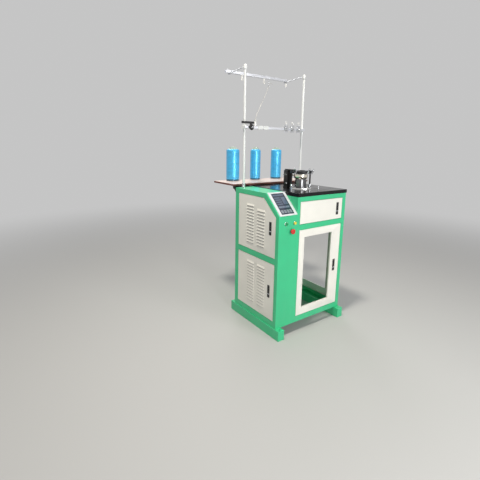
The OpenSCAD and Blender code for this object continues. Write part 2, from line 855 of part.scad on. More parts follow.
module motor_pulley() {
    color([0.6, 0.6, 0.62]) at_motor(0) {
        translate([0, 0, motor_top - 25]) cylinder(d = 14, h = pulley_z + pulley_h + 6 - motor_top + 25);
        translate([0, 0, pulley_z - 16]) cylinder(d = 26, h = 14);
        translate([0, 0, pulley_z - 2]) cylinder(r = motor_pulley_r + 4, h = 2);
        translate([0, 0, pulley_z])
            toothed_disc(motor_pulley_r, pulley_h, round(motor_pulley_r * 0.8));
        translate([0, 0, pulley_z + pulley_h]) cylinder(r = motor_pulley_r + 4, h = 2);
    }
}

// Points of the outline round both pulleys, grown by a margin
function wrap(r, x, from, to, n) =
    [for (i = [0:n]) let (t = from + (to - from) * i / n) [x + r * cos(t), r * sin(t)]];
function belt_points(grow) =
    concat(wrap(pulley_r + grow, 0, belt_side, 360 - belt_side, 60),
        wrap(motor_pulley_r + grow, pulley_span, -belt_side, belt_side, 24));

module drive_belt() {
    color(black) at_head(pulley_z + 2) rotate([0, 0, pulley_angle]) linear_extrude(pulley_h - 4)
        difference() {
            polygon(belt_points(0.1 + belt_t));
            polygon(belt_points(0.1));
        }
}

module uprights() {
    color("white") in_cabinet() for (i = [0, 1]) translate([pole_x[i], pole_y, 0]) difference() {
        union() {
            translate([0, 0, foot_z[i] + 6]) cylinder(d = pole_d, h = table_z + pole_h - foot_z[i] - 6);
            translate([0, 0, table_z + pole_h]) sphere(d = cap_d);
            translate([0, 0, table_z + pole_h - 20]) cylinder(d = cap_d, h = 20);
        }
        translate([0, 0, rod_z]) rotate([0, 0, -rod_angle]) translate([0, -6, 0])
            rotate([-90, 0, 0]) cylinder(d = rod_d + 2 * run, h = 40);
    }
}

module upright_sockets() {
    color(steel) in_cabinet() for (i = [0, 1]) translate([pole_x[i], pole_y, foot_z[i]]) difference() {
        union() {
            cylinder(d = pole_d + 18, h = 6);
            cylinder(d = pole_d + 8, h = socket_h - 12);
            translate([0, 0, socket_h - 12]) cylinder(d = pole_d + 12, h = 12);
        }
        translate([0, 0, 6]) cylinder(d = pole_d + 2 * run, h = socket_h);
    }
}

module guide_bar() {
    color(steel) in_cabinet() {
        for (x = pole_x) translate([x, pole_y, rod_z]) rotate([0, 0, -rod_angle])
            translate([0, -5, 0]) rotate([-90, 0, 0]) cylinder(d = rod_d, h = rod_l + 10);
        for (x = pole_x) translate([x + rod_end[0] - clamp_w / 2, guide_y - guide_d / 2, clamp_z])
            cube([clamp_w, guide_d / 2 + 10, guide_z - clamp_z]);
        difference() {
            translate([guide_x, guide_y - guide_d / 2, guide_z]) cube([guide_l, guide_d, guide_h]);
            translate([guide_x - 1, guide_y - guide_d / 2 + sheet, guide_z + sheet])
                cube([guide_l + 2, guide_d - 2 * sheet, guide_h]);
            for (i = [0:5])
                translate([guide_x + 40 + i * (guide_l - 120) / 5, guide_y - guide_d / 2 - 1, guide_z + 9])
                    cube([40, sheet + 2, 6]);
        }
    }
}

// Places of the thick eyelets at the bar's front edge, the last one under the right clamp, and of the
// thin one that holds the yarn
eyelet_x = [guide_x + 164, guide_x + 412, guide_x + guide_l - 7];
eyelet_y = guide_y - 11;
thin_eyelet_x = guide_x + 477;

// Underside of the rods' clamps
clamp_z = rod_z - 7;

// Eyelet on a stem, with the height that it hangs from, the wire's diameter and the eye's radius
module hanging_eyelet(x, y, top, drop, d, eye, stem) {
    translate([x, y, guide_z - drop]) {
        translate([0, 0, eye + d / 2]) cylinder(d = stem, h = top - guide_z + drop - eye - d / 2 - 0.2);
        rotate([90, 0, 0]) rotate_extrude() translate([eye + d / 2, 0]) circle(d = d, $fn = 24);
    }
}

module hanging_eyelets() {
    color(steel) in_cabinet() {
        for (i = [0:2]) hanging_eyelet(eyelet_x[i], eyelet_y, i < 2 ? guide_z : clamp_z, 38, 4.5, 6, 9);
        hanging_eyelet(thin_eyelet_x, guide_y + 2, guide_z, 61, 2.4, 4, 2.4);
    }
}

module tension_bar() {
    color("white") in_cabinet() difference() {
        union() {
            translate([bar_x, bar_y - tension_side / 2, bar_z - tension_side / 2])
                cube([bar_l, tension_side, tension_side]);
            for (x = pole_x) translate([x - 18, pole_y - pole_d / 2, bar_z - 14]) cube([36, pole_d + 8, 28]);
        }
        for (x = pole_x) translate([x, pole_y, bar_z - 20]) cylinder(d = pole_d + 2 * run, h = 40);
        translate([bar_x + 3, bar_y - tension_side / 2 + 3, bar_z - tension_side / 2 + 3])
            cube([bar_l - 6, tension_side - 6, tension_side - 6]);
    }
}

// Yarn tensioner on the bar's front: a body, two discs and an eye above
module tension_unit(x) {
    translate([x, bar_y - tension_side / 2, bar_z]) {
        translate([-20, -8, -28]) cube([40, 8, 58]);
        translate([0, -8, 4]) rotate([90, 0, 0]) {
            cylinder(d = 7, h = 24);
            translate([0, 0, 3]) cylinder(d1 = 30, d2 = 38, h = 3);
            translate([0, 0, 7]) cylinder(d1 = 38, d2 = 30, h = 3);
            translate([0, 0, 16]) cylinder(d = 14, h = 8);
        }
        translate([0, -4, 30]) cylinder(d = 4, h = 14);
        translate([0, -4, 51]) rotate([90, 0, 0]) rotate_extrude() translate([8, 0]) circle(d = 4, $fn = 24);
    }
}

arm_x0 = 15;
arm_l = 120;
arm_z = bar_top + 18;
disc_x = 105;
guide_eye_x = 150;

module tension_units() {
    color(steel) in_cabinet() {
        for (x = unit_x) tension_unit(x);
        translate([arm_x0, bar_y - 9, arm_z]) cube([arm_l, 6, 18]);
        translate([disc_x - 9, bar_y - 9, bar_top]) cube([18, 6, arm_z - bar_top]);
        translate([arm_x0 + arm_l - 4, bar_y - 6, arm_z + 9]) rotate([0, 90, 0])
            cylinder(d = 5, h = guide_eye_x - arm_x0 - arm_l);
        translate([guide_eye_x, bar_y - 6, bar_top + 4]) difference() {
            union() {
                cylinder(d = 16, h = 36);
                translate([0, 0, 36]) cylinder(d1 = 16, d2 = 24, h = 10);
            }
            translate([0, 0, -1]) cylinder(d = 3.6, h = 48);
            translate([0, 0, 38]) cylinder(d1 = 6, d2 = 22, h = 10);
        }
        translate([disc_x, bar_y - tension_side / 2, bar_z]) rotate([90, 0, 0]) {
            cylinder(d = 8, h = 26);
            translate([0, 0, 4]) cylinder(d1 = 38, d2 = 48, h = 4);
            translate([0, 0, 9]) cylinder(d1 = 48, d2 = 38, h = 4);
            translate([0, 0, 17]) cylinder(d = 16, h = 9);
        }
        for (x = [178, 236]) translate([x, bar_y - tension_side / 2 - 5, bar_z - 14]) difference() {
            cube([48, tension_side + 10, 28]);
            translate([-1, 5 - run, 5 - run]) cube([50, tension_side + 2 * run, tension_side + 2 * run]);
        }
    }
}

module creel_board() {
    color([0.88, 0.78, 0.74]) in_cabinet() difference() {
        translate([board_x, board_y, board_z - board_t]) cube([board_l, board_w, board_t]);
        for (x = spool_x) translate([x, spool_y, board_z - board_t - 1]) cylinder(d = 10, h = board_t + 2);
    }
}

module creel_brackets() {
    color(black) in_cabinet() {
        for (x = arm_x) {
            translate([x, body_d, leg_low]) cube([arm_side, arm_side, arm_top - leg_low]);
            translate([x, body_d + arm_side, arm_top - arm_side])
                cube([arm_side, board_back - arm_side + board_w - 20, arm_side]);
            translate([x + 5, 0, 0]) side_plate(arm_side - 10)
                polygon([[body_d + arm_side, leg_low + 10], [body_d + arm_side, leg_low + 36],
                    [board_y + board_w - 120, arm_top - arm_side],
                    [board_y + board_w - 86, arm_top - arm_side]]);
        }
        for (i = [0, 1, 2])
            translate([cross_from[i], board_y + 4, arm_top - 24]) cube([cross_to[i] - cross_from[i], 24, 24]);
    }
}

module spindles() {
    color(steel) in_cabinet() for (x = spool_x) translate([x, spool_y, board_z]) {
        cylinder(d = 56, h = 4);
        cylinder(d = spindle_d, h = spool_h + 8);
        translate([0, 0, -board_t]) cylinder(d = 10 - 2 * run, h = board_t);
    }
}

// Wound spool: lower rim, straight winding and domed end over a core tube
module spool(i) {
    r = spool_r[i];
    color(blue) in_cabinet() translate([spool_x[i], spool_y, board_z + 4]) rotate_extrude($fn = 96)
        polygon([[core_d / 2, 0], [r - 3, 0], [r - 1, 4], [r - 2, 12], [r, 20], [r, spool_h - 34],
            [r - 3, spool_h - 25], [r * 0.76, spool_h - 19], [r * 0.52, spool_h - 9], [r * 0.36, spool_h],
            [core_d / 2, spool_h]]);
}

module spool_1() {
    spool(0);
}

module spool_2() {
    spool(1);
}

module spool_3() {
    spool(2);
}

yarn_r = 1;
yarn_route = [[150, 505, 1530], [150, 505, 1550], [150, 505, 1570], [160, 513, 1590], [197, 546, 1624],
    [243, 585, 1661], [289, 623, 1698], [335, 662, 1735], [382, 700, 1773], [428, 739, 1810],
    [474, 777, 1847], [520, 816, 1884], [540, 834, 1906], [549, 842, 1916], [556, 850, 1927],
    [566, 857, 1940], [578, 861, 1949], [590, 862, 1951], [602, 861, 1948], [612, 860, 1942]];

// Sweeps an eight sided section along a list of points
module cord(points, r) {
    n = len(points);
    function along(i) = points[min(i + 1, n - 1)] - points[max(i - 1, 0)];
    function side(i) = let (t = along(i), c = cross(t, [1, -1, 0.2])) c / norm(c);
    function up(i) = let (t = along(i), c = cross(side(i), t)) c / norm(c);
    ring = [for (i = [0:n - 1], k = [0:7])
        points[i] + r * cos(k * 45) * side(i) + r * sin(k * 45) * up(i)];
    walls = [for (i = [0:n - 2], k = [0:7])
        [i * 8 + k, i * 8 + (k + 1) % 8, (i + 1) * 8 + (k + 1) % 8, (i + 1) * 8 + k]];
    first = [[for (k = [7:-1:0]) k]];
    last = [[for (k = [0:7]) (n - 1) * 8 + k]];
    polyhedron(ring, concat(walls, first, last), convexity = 6);
}

module yarn() {
    color([0.9, 0.88, 0.8]) in_cabinet() cord(yarn_route, yarn_r);
}

// Latch coordinates: X along the door, Y inwards, Z up, from the middle of the latch
module at_latch(w, h) {
    translate([w - door_gap - latch_in, 0, h / 2]) children();
}

module latch_pocket() {
    difference() {
        union() {
            translate([-latch_w / 2, -rim, -latch_h / 2]) cube([latch_w, rim + eps, latch_h]);
            translate([-pocket_w / 2 - pocket_wall, 0, -pocket_h / 2 - pocket_wall])
                cube([pocket_w + 2 * pocket_wall, pocket_d + pocket_wall, pocket_h + 2 * pocket_wall]);
        }
        translate([-pocket_w / 2, -rim - 1, -pocket_h / 2]) cube([pocket_w, pocket_d + rim + 1, pocket_h]);
        translate([-latch_w / 2 - 1, lever_y, pivot_z]) rotate([0, 90, 0])
            cylinder(d = lever_pin_d + 2 * run, h = latch_w + 2);
        translate([-4, pocket_d - 1, pivot_z - 17]) cube([8, pocket_wall + 2, 22]);
        translate([0, pocket_d - 1, push_z + latch_button_h / 2]) rotate([-90, 0, 0])
            cylinder(d = 8 + 2 * run, h = pocket_wall + 2);
    }
}

// Door pan with its hinge pins and latch pocket, hinged at its left edge
module door(w, h, run_x, rise) {
    difference() {
        union() {
            difference() {
                front_plate(door_d) clipped(w, h, run_x, rise, -door_gap);
                translate([0, sheet, 0]) front_plate(door_d)
                    clipped(w, h, run_x, rise, -door_gap - sheet);
            }
            for (z = [door_gap, h - door_gap - block_h])
                translate([door_gap, 0, z]) cube([2 * pin_in, pin_deep + pin_d / 2 + 2, block_h]);
            for (z = [-sheet - pin_reach, h - door_gap - block_h])
                translate([door_gap + pin_in, pin_deep, z])
                    cylinder(d = pin_d, h = block_h + door_gap + sheet + pin_reach);
        }
        at_latch(w, h) translate([-pocket_w / 2 - pocket_wall, -1, -pocket_h / 2 - pocket_wall])
            cube([pocket_w + 2 * pocket_wall, sheet + 1 + eps, pocket_h + 2 * pocket_wall]);
    }
    at_latch(w, h) latch_pocket();
}

// Door pan with a window that has a folded edge
module window_door(w, h) {
    x = door_gap + stile_hinge;
    z = door_gap + window_low;
    ww = w - 2 * door_gap - stile_hinge - stile_latch;
    wh = h - 2 * door_gap - window_low - window_top;
    difference() {
        union() {
            door(w, h, 0, 0);
            translate([x - sheet, 0, z - sheet]) cube([ww + 2 * sheet, door_d - 6, wh + 2 * sheet]);
        }
        translate([x, -1, z]) cube([ww, door_d + 2, wh]);
    }
}

// One column of pressed louvres, its lowest one at the origin
module louvre_column(n, grow) {
    t = 1.2;
    drop = t * sqrt(pow(louvre_out, 2) + pow(louvre_h, 2)) / louvre_out;
    for (i = [0:n - 1]) translate([0, i * louvre_pitch])
        if (grow)
            polygon([[0, 0], [-louvre_out, 0], [0, louvre_h]]);
        else
            polygon([[sheet + 1, 2], [0, 2], [0, -1], [-louvre_out + t, -1], [0, louvre_h - drop],
                [sheet + 1, louvre_h - drop]]);
}

// Number of louvres that fit below a height
function louvres_to(top) = floor((top - louvre_low - louvre_h) / louvre_pitch) + 1;

// Door pan with louvre columns, each given as its place, the height of its lowest louvre and its count
module louvre_door(w, h, run_x, rise, columns) {
    difference() {
        union() {
            door(w, h, run_x, rise);
            for (c = columns) translate([c[0], 0, c[1]]) side_plate(louvre_w) louvre_column(c[2], true);
        }
        for (c = columns) translate([c[0] + 1.5, 0, c[1]])
            side_plate(louvre_w - 3) louvre_column(c[2], false);
    }
}

module front_upper_door() {
    color(cream) in_cabinet() on_front(upper_open_z) door(front_open_w, upper_open_h, 0, 0);
}

module front_lower_door() {
    color(cream) in_cabinet() on_front(bottom_edge) window_door(front_open_w, lower_open_h);
}

rear_column = 119;
front_column = 254;
louvre_low = 60;

module left_upper_door() {
    color(cream) in_cabinet() on_left(left_upper_z)
        louvre_door(side_open_w, left_upper_h, clip_run, clip_rise,
            [[rear_column, louvre_low, louvres_to(left_upper_h - 45)],
                [front_column, louvre_low, louvres_to(left_upper_h - 75)]]);
}

module left_lower_door() {
    color(cream) in_cabinet() on_left(bottom_edge)
        louvre_door(side_open_w, left_lower_h, 0, 0,
            [for (x = [rear_column, front_column]) [x + 14, louvre_low + 10, louvres_to(left_lower_h - 50)]]);
}

module right_door() {
    color(cream) in_cabinet() on_right(bottom_edge) window_door(side_open_w, lower_open_h);
}

// Latch lever: grip, pivot pin, tail and claw
module lever() {
    translate([-lever_w / 2, lever_y, pivot_z]) side_plate(lever_w) union() {
        circle(r = pivot_r);
        translate([-lever_y - rim, lever_low - pivot_z]) square([lever_t, pivot_z - lever_low]);
    }
    translate([-lever_pin_l / 2, lever_y, pivot_z]) rotate([0, 90, 0])
        cylinder(d = lever_pin_d, h = lever_pin_l);
    translate([-3, lever_y, pivot_z - tail_h / 2]) cube([6, claw_y + 3 - lever_y, tail_h]);
    translate([-3, claw_y, pivot_z - tail_h / 2]) cube([latch_in - 3, 3, tail_h]);
}

// Push button under the lever, with its guide stem
module push() {
    translate([-lever_w / 2, -rim, push_z]) cube([lever_w, 9, latch_button_h]);
    translate([0, 7, push_z + latch_button_h / 2]) rotate([-90, 0, 0])
        cylinder(d = 8, h = pocket_d + pocket_wall - 6);
}

module front_upper_lever() {
    color(black) in_cabinet() on_front(upper_open_z) at_latch(front_open_w, upper_open_h) lever();
}

module front_lower_lever() {
    color(black) in_cabinet() on_front(bottom_edge) at_latch(front_open_w, lower_open_h) lever();
}

module left_upper_lever() {
    color(black) in_cabinet() on_left(left_upper_z) at_latch(side_open_w, left_upper_h) lever();
}

module left_lower_lever() {
    color(black) in_cabinet() on_left(bottom_edge) at_latch(side_open_w, left_lower_h) lever();
}

module right_lever() {
    color(black) in_cabinet() on_right(bottom_edge) at_latch(side_open_w, lower_open_h) lever();
}

module front_upper_push() {
    color(black) in_cabinet() on_front(upper_open_z) at_latch(front_open_w, upper_open_h) push();
}

module front_lower_push() {
    color(black) in_cabinet() on_front(bottom_edge) at_latch(front_open_w, lower_open_h) push();
}

module left_upper_push() {
    color(black) in_cabinet() on_left(left_upper_z) at_latch(side_open_w, left_upper_h) push();
}

module left_lower_push() {
    color(black) in_cabinet() on_left(bottom_edge) at_latch(side_open_w, left_lower_h) push();
}

module right_push() {
    color(black) in_cabinet() on_right(bottom_edge) at_latch(side_open_w, lower_open_h) push();
}

base_rails();
front_frame();
left_frame();
right_frame();
rear_panel();
partition();
control_hood();
drive_shelf();
table_top();
screws();
operator_panel();
panel_screen();
button_holders();
start_button();
reset_button();
stop_button();
control_plate();
bearing_housing();
feeder_ring();
cam_ring();
head_column();
yarn_feeders();
needle_cylinder();
needles();
cylinder_pulley();
takedown_yoke();
takedown_roller_a();
takedown_roller_b();
takedown_wheel();
motor();
motor_pulley();
drive_belt();
uprights();
upright_sockets();
guide_bar();
hanging_eyelets();
tension_bar();
tension_units();
creel_board();
creel_brackets();
spindles();
spool_1();
spool_2();
spool_3();
yarn();
front_upper_door();
front_lower_door();
left_upper_door();
left_lower_door();
right_door();
front_upper_lever();
front_lower_lever();
left_upper_lever();
left_lower_lever();
right_lever();
front_upper_push();
front_lower_push();
left_upper_push();
left_lower_push();
right_push();
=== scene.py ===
"""Looks of a small circular knitting machine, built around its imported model.

Sizes in millimetres are in the cabinet's own coordinates: X from its left side, Y from its front
and Z from its underside. at() turns them into metres in the model's frame.
"""

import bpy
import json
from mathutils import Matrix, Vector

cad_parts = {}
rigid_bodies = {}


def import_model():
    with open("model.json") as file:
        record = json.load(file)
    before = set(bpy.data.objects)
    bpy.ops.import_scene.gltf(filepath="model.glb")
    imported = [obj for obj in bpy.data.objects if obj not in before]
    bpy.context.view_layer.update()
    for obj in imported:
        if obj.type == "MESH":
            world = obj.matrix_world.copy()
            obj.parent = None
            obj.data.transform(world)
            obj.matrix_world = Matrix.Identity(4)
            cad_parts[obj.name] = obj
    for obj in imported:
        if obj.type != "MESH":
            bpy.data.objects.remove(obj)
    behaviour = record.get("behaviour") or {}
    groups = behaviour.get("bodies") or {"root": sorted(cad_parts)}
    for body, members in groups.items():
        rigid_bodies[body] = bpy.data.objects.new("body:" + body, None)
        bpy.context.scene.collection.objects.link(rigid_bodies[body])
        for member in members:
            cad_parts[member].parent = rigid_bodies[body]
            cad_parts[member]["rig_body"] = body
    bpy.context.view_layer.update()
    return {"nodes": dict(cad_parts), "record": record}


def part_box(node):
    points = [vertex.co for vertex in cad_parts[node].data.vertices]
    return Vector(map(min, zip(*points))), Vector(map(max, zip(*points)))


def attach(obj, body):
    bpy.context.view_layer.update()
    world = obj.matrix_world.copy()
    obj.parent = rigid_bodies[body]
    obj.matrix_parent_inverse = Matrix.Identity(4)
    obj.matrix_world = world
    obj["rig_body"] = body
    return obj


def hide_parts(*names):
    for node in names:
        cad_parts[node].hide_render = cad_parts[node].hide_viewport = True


bl_info = {
    "name": "Circular knitting machine",
    "version": (1, 0, 0),
    "blender": (4, 5, 0),
    "location": "View3D > Sidebar > Knitting machine",
    "description": "Builds the finished pieces of a knitting machine around its packed model",
    "category": "Object",
}

import json
import math
from random import Random

import bmesh
import bpy
from bpy.props import FloatProperty, FloatVectorProperty, IntProperty, PointerProperty
from mathutils import Matrix, Vector

for spare in list(bpy.data.objects):
    bpy.data.objects.remove(spare)
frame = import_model()
NODES = frame["nodes"]

MM = 0.001
# Sizes and places in cabinet millimetres, as in part.scad
BODY_W, BODY_D, RAIL_H = 715.0, 555.0, 80.0
HEAD = (430.0, 240.0)
TABLE_Z = 1028.0
SLOPE_RUN, SLOPE_RISE = 157.0, 154.0
POLES = (60.0, 701.0)
POLE_Y = 530.0
SPOOL_X = (170.0, 430.0, 690.0)
SPOOL_Y = 865.0
SPOOL_R = (61.0, 50.0, 53.0)
BOARD_TOP = 1046.0
SPOOL_H = 304.0
CORE_R = 7.5
BAR_Z = 1513.0
BAR_FRONT = 502.0
UNIT_X = (479.0, 552.0, 628.0)
DISC_X = 105.0
FLANGE_D = 176.0
FLANGE_H = 8.0
PEG = (501.0, 106.0)
# Brightness of the empty studio
STUDIO = 0.56
# How far outside a zone, in millimetres, a face still counts as in it
SLACK = 0.15
# Angle in degrees from which an edge of a dressed CAD shape stays sharp
SHARP = 18.0
# The door locks: the side that each is on, its place along that side and its height
LOCKS = {"front_upper": ("front", 619.0, 878.0), "front_lower": ("front", 619.0, 398.0),
         "left_upper": ("left", 94.0, 768.0), "left_lower": ("left", 94.0, 275.0),
         "right": ("right", 94.0, 398.0)}
# The yarn's way from its guide tube over the thin eyelet to its free curl, as in part.scad
YARN_ROUTE = ((150, 505, 1530), (150, 505, 1550), (150, 505, 1570), (160, 513, 1590), (197, 546, 1624),
              (243, 585, 1661), (289, 623, 1698), (335, 662, 1735), (382, 700, 1773), (428, 739, 1810),
              (474, 777, 1847), (520, 816, 1884), (540, 834, 1906), (549, 842, 1916), (556, 850, 1927),
              (566, 857, 1940), (578, 861, 1949), (590, 862, 1951), (602, 861, 1948), (612, 860, 1942))
YARN_D = 2.0
# Height of the pale band across a lock's lever, a painted highlight
HIGHLIGHT_BAND = 6.0


def at(x, y, z):
    """Cabinet millimetres to metres in the model's frame."""
    return Vector(((x - BODY_W / 2) * MM, (y - BODY_D / 2) * MM, (z + RAIL_H) * MM))


def cabinet(point):
    """A point of the model's frame in cabinet millimetres."""
    return Vector((point.x / MM + BODY_W / 2, point.y / MM + BODY_D / 2, point.z / MM - RAIL_H))


def linear(red, green, blue):
    """Screen colour from 0 to 255 to the linear colour that Blender works in."""
    return [((c / 255 + 0.055) / 1.055) ** 2.4 if c > 10 else c / 255 / 12.92 for c in (red, green, blue)]


# ---- materials


class Value:
    """A number or vector in a tree of nodes, with Python's operators."""

    def __init__(self, nodes, socket):
        self.nodes = nodes
        self.socket = socket

    def math(self, operation, *others):
        return self.nodes.node("Math", {"operation": operation}, dict(enumerate((self, *others))))

    def __add__(self, other):
        return self.math("ADD", other)

    __radd__ = __add__

    def __mul__(self, other):
        return self.math("MULTIPLY", other)

    __rmul__ = __mul__

    def __sub__(self, other):
        return self.math("SUBTRACT", other)

    def __rsub__(self, other):
        return self.nodes.node("Math", {"operation": "SUBTRACT"}, {0: other, 1: self})

    def sine(self):
        return self.math("SINE")

    def limited(self):
        """Kept from 0 to 1."""
        return self.nodes.node("Clamp", {}, {0: self})

    def between(self, low, high):
        """0 below low, 1 above high, smooth between."""
        return self.nodes.node("MapRange", {"interpolation_type": "SMOOTHSTEP"}, {0: self, 1: low, 2: high})


class Nodes:
    """A tree of nodes, and the way that they are put in it."""

    def __init__(self, tree):
        self.tree = tree

    def node(self, kind, settings, inputs, output=0):
        """Adds a node and gives back one output. A kind without a family is a shader node."""
        made = self.tree.nodes.new(kind if "Node" in kind else "ShaderNode" + kind)
        for label, value in settings.items():
            setattr(made, label, value)
        for key, value in inputs.items():
            self.join(made.inputs[key], value)
        return Value(self, made.outputs[output])

    def join(self, socket, value):
        if isinstance(value, Value):
            self.tree.links.new(value.socket, socket)
        elif isinstance(value, (list, tuple, Vector)) and socket.type == "RGBA":
            socket.default_value = (*list(value)[:3], 1)
        else:
            socket.default_value = value


class Finish(Nodes):
    """One material, and what its nodes are put together from."""

    def __init__(self, name, colour, roughness, metal=0.0, **sockets):
        self.material = bpy.data.materials.new(name)
        self.material.use_nodes = True
        super().__init__(self.material.node_tree)
        self.shader = self.tree.nodes["Principled BSDF"]
        self.colour = list(colour)[:3]
        self.put("Base Color", self.colour)
        self.put("Roughness", roughness)
        self.put("Metallic", metal)
        for label, value in sockets.items():
            self.put(label.replace("_", " ").title().replace("Ior", "IOR"), value)
        self.material.diffuse_color = (*self.colour, 1)

    def put(self, label, value):
        self.join(self.shader.inputs[label], value)

    def place(self):
        return self.node("TexCoord", {}, {}, "Object")

    def along(self, axis):
        return self.node("SeparateXYZ", {}, {0: self.place()}, "XYZ".index(axis))

    def facing(self, axis):
        """How far the surface faces along an axis of the model."""
        normal = self.node("NewGeometry", {}, {}, "Normal")
        return self.node("SeparateXYZ", {}, {0: normal}, "XYZ".index(axis))

    def stretched(self, scale, centre=(0, 0, 0)):
        moved = self.node("VectorMath", {"operation": "SUBTRACT"}, {0: self.place(), 1: tuple(centre)})
        return self.node("VectorMath", {"operation": "MULTIPLY"}, {0: moved, 1: scale})

    def ringed(self, centre, scale):
        """A vector that changes only away from and along an upright axis, as lathe marks do."""
        flat = self.stretched((1, 1, 0), centre)
        radius = self.node("VectorMath", {"operation": "LENGTH"}, {0: flat}, "Value")
        return self.node("CombineXYZ", {}, {0: radius * scale, 1: self.along("Z") * scale})

    def noise(self, scale, detail=2.0, vector=None):
        return self.node("TexNoise", {}, {
            "Vector": vector or self.place(), "Scale": scale, "Detail": detail, "Roughness": 0.5})

    def cells(self, scale):
        return self.node("TexVoronoi", {}, {"Vector": self.place(), "Scale": scale})

    def blend(self, first, second, share):
        return self.node("Mix", {"data_type": "RGBA"}, {0: share, 6: first, 7: second}, 2)

    def bump(self, height, distance, strength):
        """Roughens the surface and gives back the finished material."""
        self.put("Normal", self.node("Bump", {}, {
            "Strength": strength, "Distance": distance, "Height": height}))
        return self.material


def tint(colour, factor):
    return [min(1.0, c * factor) for c in colour]


def powder_coat(name, colour, roughness=0.36):
    """Baked powder paint: slight orange peel, cloudy gloss and a dusting low down."""
    f = Finish(name, colour, roughness, coat_weight=0.25, coat_roughness=0.12)
    cloud = f.noise(5.0, 3.0)
    smear = f.noise(22.0, 4.0, f.stretched((1.0, 1.0, 0.25)))
    low = 1 - f.along("Z").between(0.02, 0.4)
    dust = (low * smear.between(0.4, 0.75) * 0.22 + cloud.between(0.5, 0.85) * 0.04).limited()
    specks = f.cells(70.0).math("LESS_THAN", 0.05) * f.noise(9.0, 2.0).between(0.6, 0.68)
    painted = f.blend(f.colour, tint(f.colour, 0.92), cloud.between(0.25, 0.8))
    dusty = f.blend(painted, [c * 0.7 + 0.13 for c in f.colour], dust)
    f.put("Base Color", f.blend(dusty, tint(f.colour, 0.55), specks * 0.5))
    f.put("Roughness", roughness + dust * 0.5 + smear * 0.07 - 0.03)
    return f.bump(f.noise(520.0, 1.0), 0.00012, 0.5)


def gloss_top(name, colour):
    """Black stoving enamel with fine rubbing marks and a little lint."""
    f = Finish(name, colour, 0.16, specular_ior_level=0.3)
    marks = f.noise(180.0, 3.0, f.stretched((1.0, 0.05, 1.0)))
    film = f.noise(7.0, 4.0)
    lint = f.cells(160.0).math("LESS_THAN", 0.035) * f.noise(14.0).between(0.55, 0.6)
    f.put("Base Color", f.blend(f.blend(f.colour, tint(f.colour, 2.2), film.between(0.45, 0.8)),
                                (0.32, 0.34, 0.36), lint * 0.6))
    f.put("Roughness", 0.12 + film.between(0.35, 0.8) * 0.16 + marks.between(0.62, 0.75) * 0.12 + lint * 0.4)
    return f.bump(marks, 0.00004, 0.3)


def lathe_metal(name, colour, roughness, centre=(0, 0), pitch=2400.0, oil=0.5):
    """Turned metal with marks that run round an upright axis and a thin film of oil."""
    f = Finish(name, colour, roughness, 1.0)
    axis = (*(at(*centre, 0).xy if centre != (0, 0) else (0, 0)), 0)
    marks = f.noise(1.0, 3.0, f.ringed(axis, pitch))
    film = f.noise(28.0, 3.0)
    f.put("Base Color", f.blend(tint(f.colour, 1.06), tint(f.colour, 0.7), film.between(0.45, 0.85) * oil))
    f.put("Roughness", roughness + marks * 0.12 + film.between(0.4, 0.8) * 0.1 - 0.06)
    return f.bump(marks, 0.00003, 0.6)


def drawn_metal(name, colour, roughness, along="Z", grain=0.00002):
    """Drawn or rolled bright metal with marks along one axis."""
    f = Finish(name, colour, roughness, 1.0)
    scale = [1500.0, 1500.0, 1500.0]
    scale["XYZ".index(along)] = 25.0
    marks = f.noise(1.0, 2.0, f.stretched(tuple(scale)))
    stain = f.noise(17.0, 4.0)
    f.put("Base Color", f.blend(f.colour, tint(f.colour, 0.62), stain.between(0.5, 0.9) * 0.7))
    f.put("Roughness", roughness + marks * 0.14 + stain.between(0.4, 0.8) * 0.12 - 0.08)
    return f.bump(marks, grain, 0.6)


def spangled_zinc(name, colour, roughness):
    """Zinc-coated sheet with its crystal pattern."""
    f = Finish(name, colour, roughness, 1.0)
    crystal = f.node("TexVoronoi", {}, {"Vector": f.place(), "Scale": 85.0}, "Color")
    shade = f.node("SeparateColor", {}, {0: crystal})
    f.put("Base Color", f.blend(tint(f.colour, 0.8), tint(f.colour, 1.12), shade))
    f.put("Roughness", roughness + shade * 0.16 - 0.08)
    return f.bump(f.noise(400.0), 0.00004, 0.3)


def cast_metal(name, colour, roughness, metal=0.0):
    """Painted or blackened casting with a sandy skin."""
    f = Finish(name, colour, roughness, metal)
    sand = f.noise(650.0, 3.0)
    wear = f.noise(30.0, 5.0).between(0.6, 0.8)
    f.put("Base Color", f.blend(f.colour, [c * 0.6 + 0.05 for c in f.colour], wear))
    f.put("Roughness", roughness + sand * 0.2 - wear * 0.15 - 0.05)
    return f.bump(sand, 0.0002, 0.5)


def moulded(name, colour, roughness, grain, depth=0.00008, coat=0.0):
    """Moulded plastic with a fine spark-eroded grain and slight flow marks."""
    f = Finish(name, colour, roughness, coat_weight=coat, coat_roughness=0.1)
    fine = f.noise(grain, 2.0)
    flow = f.noise(40.0, 3.0)
    f.put("Base Color", f.blend(f.colour, tint(f.colour, 0.82), flow.between(0.4, 0.85) * 0.6))
    f.put("Roughness", roughness + flow * 0.14 - 0.07)
    return f.bump(fine, depth, 0.5)


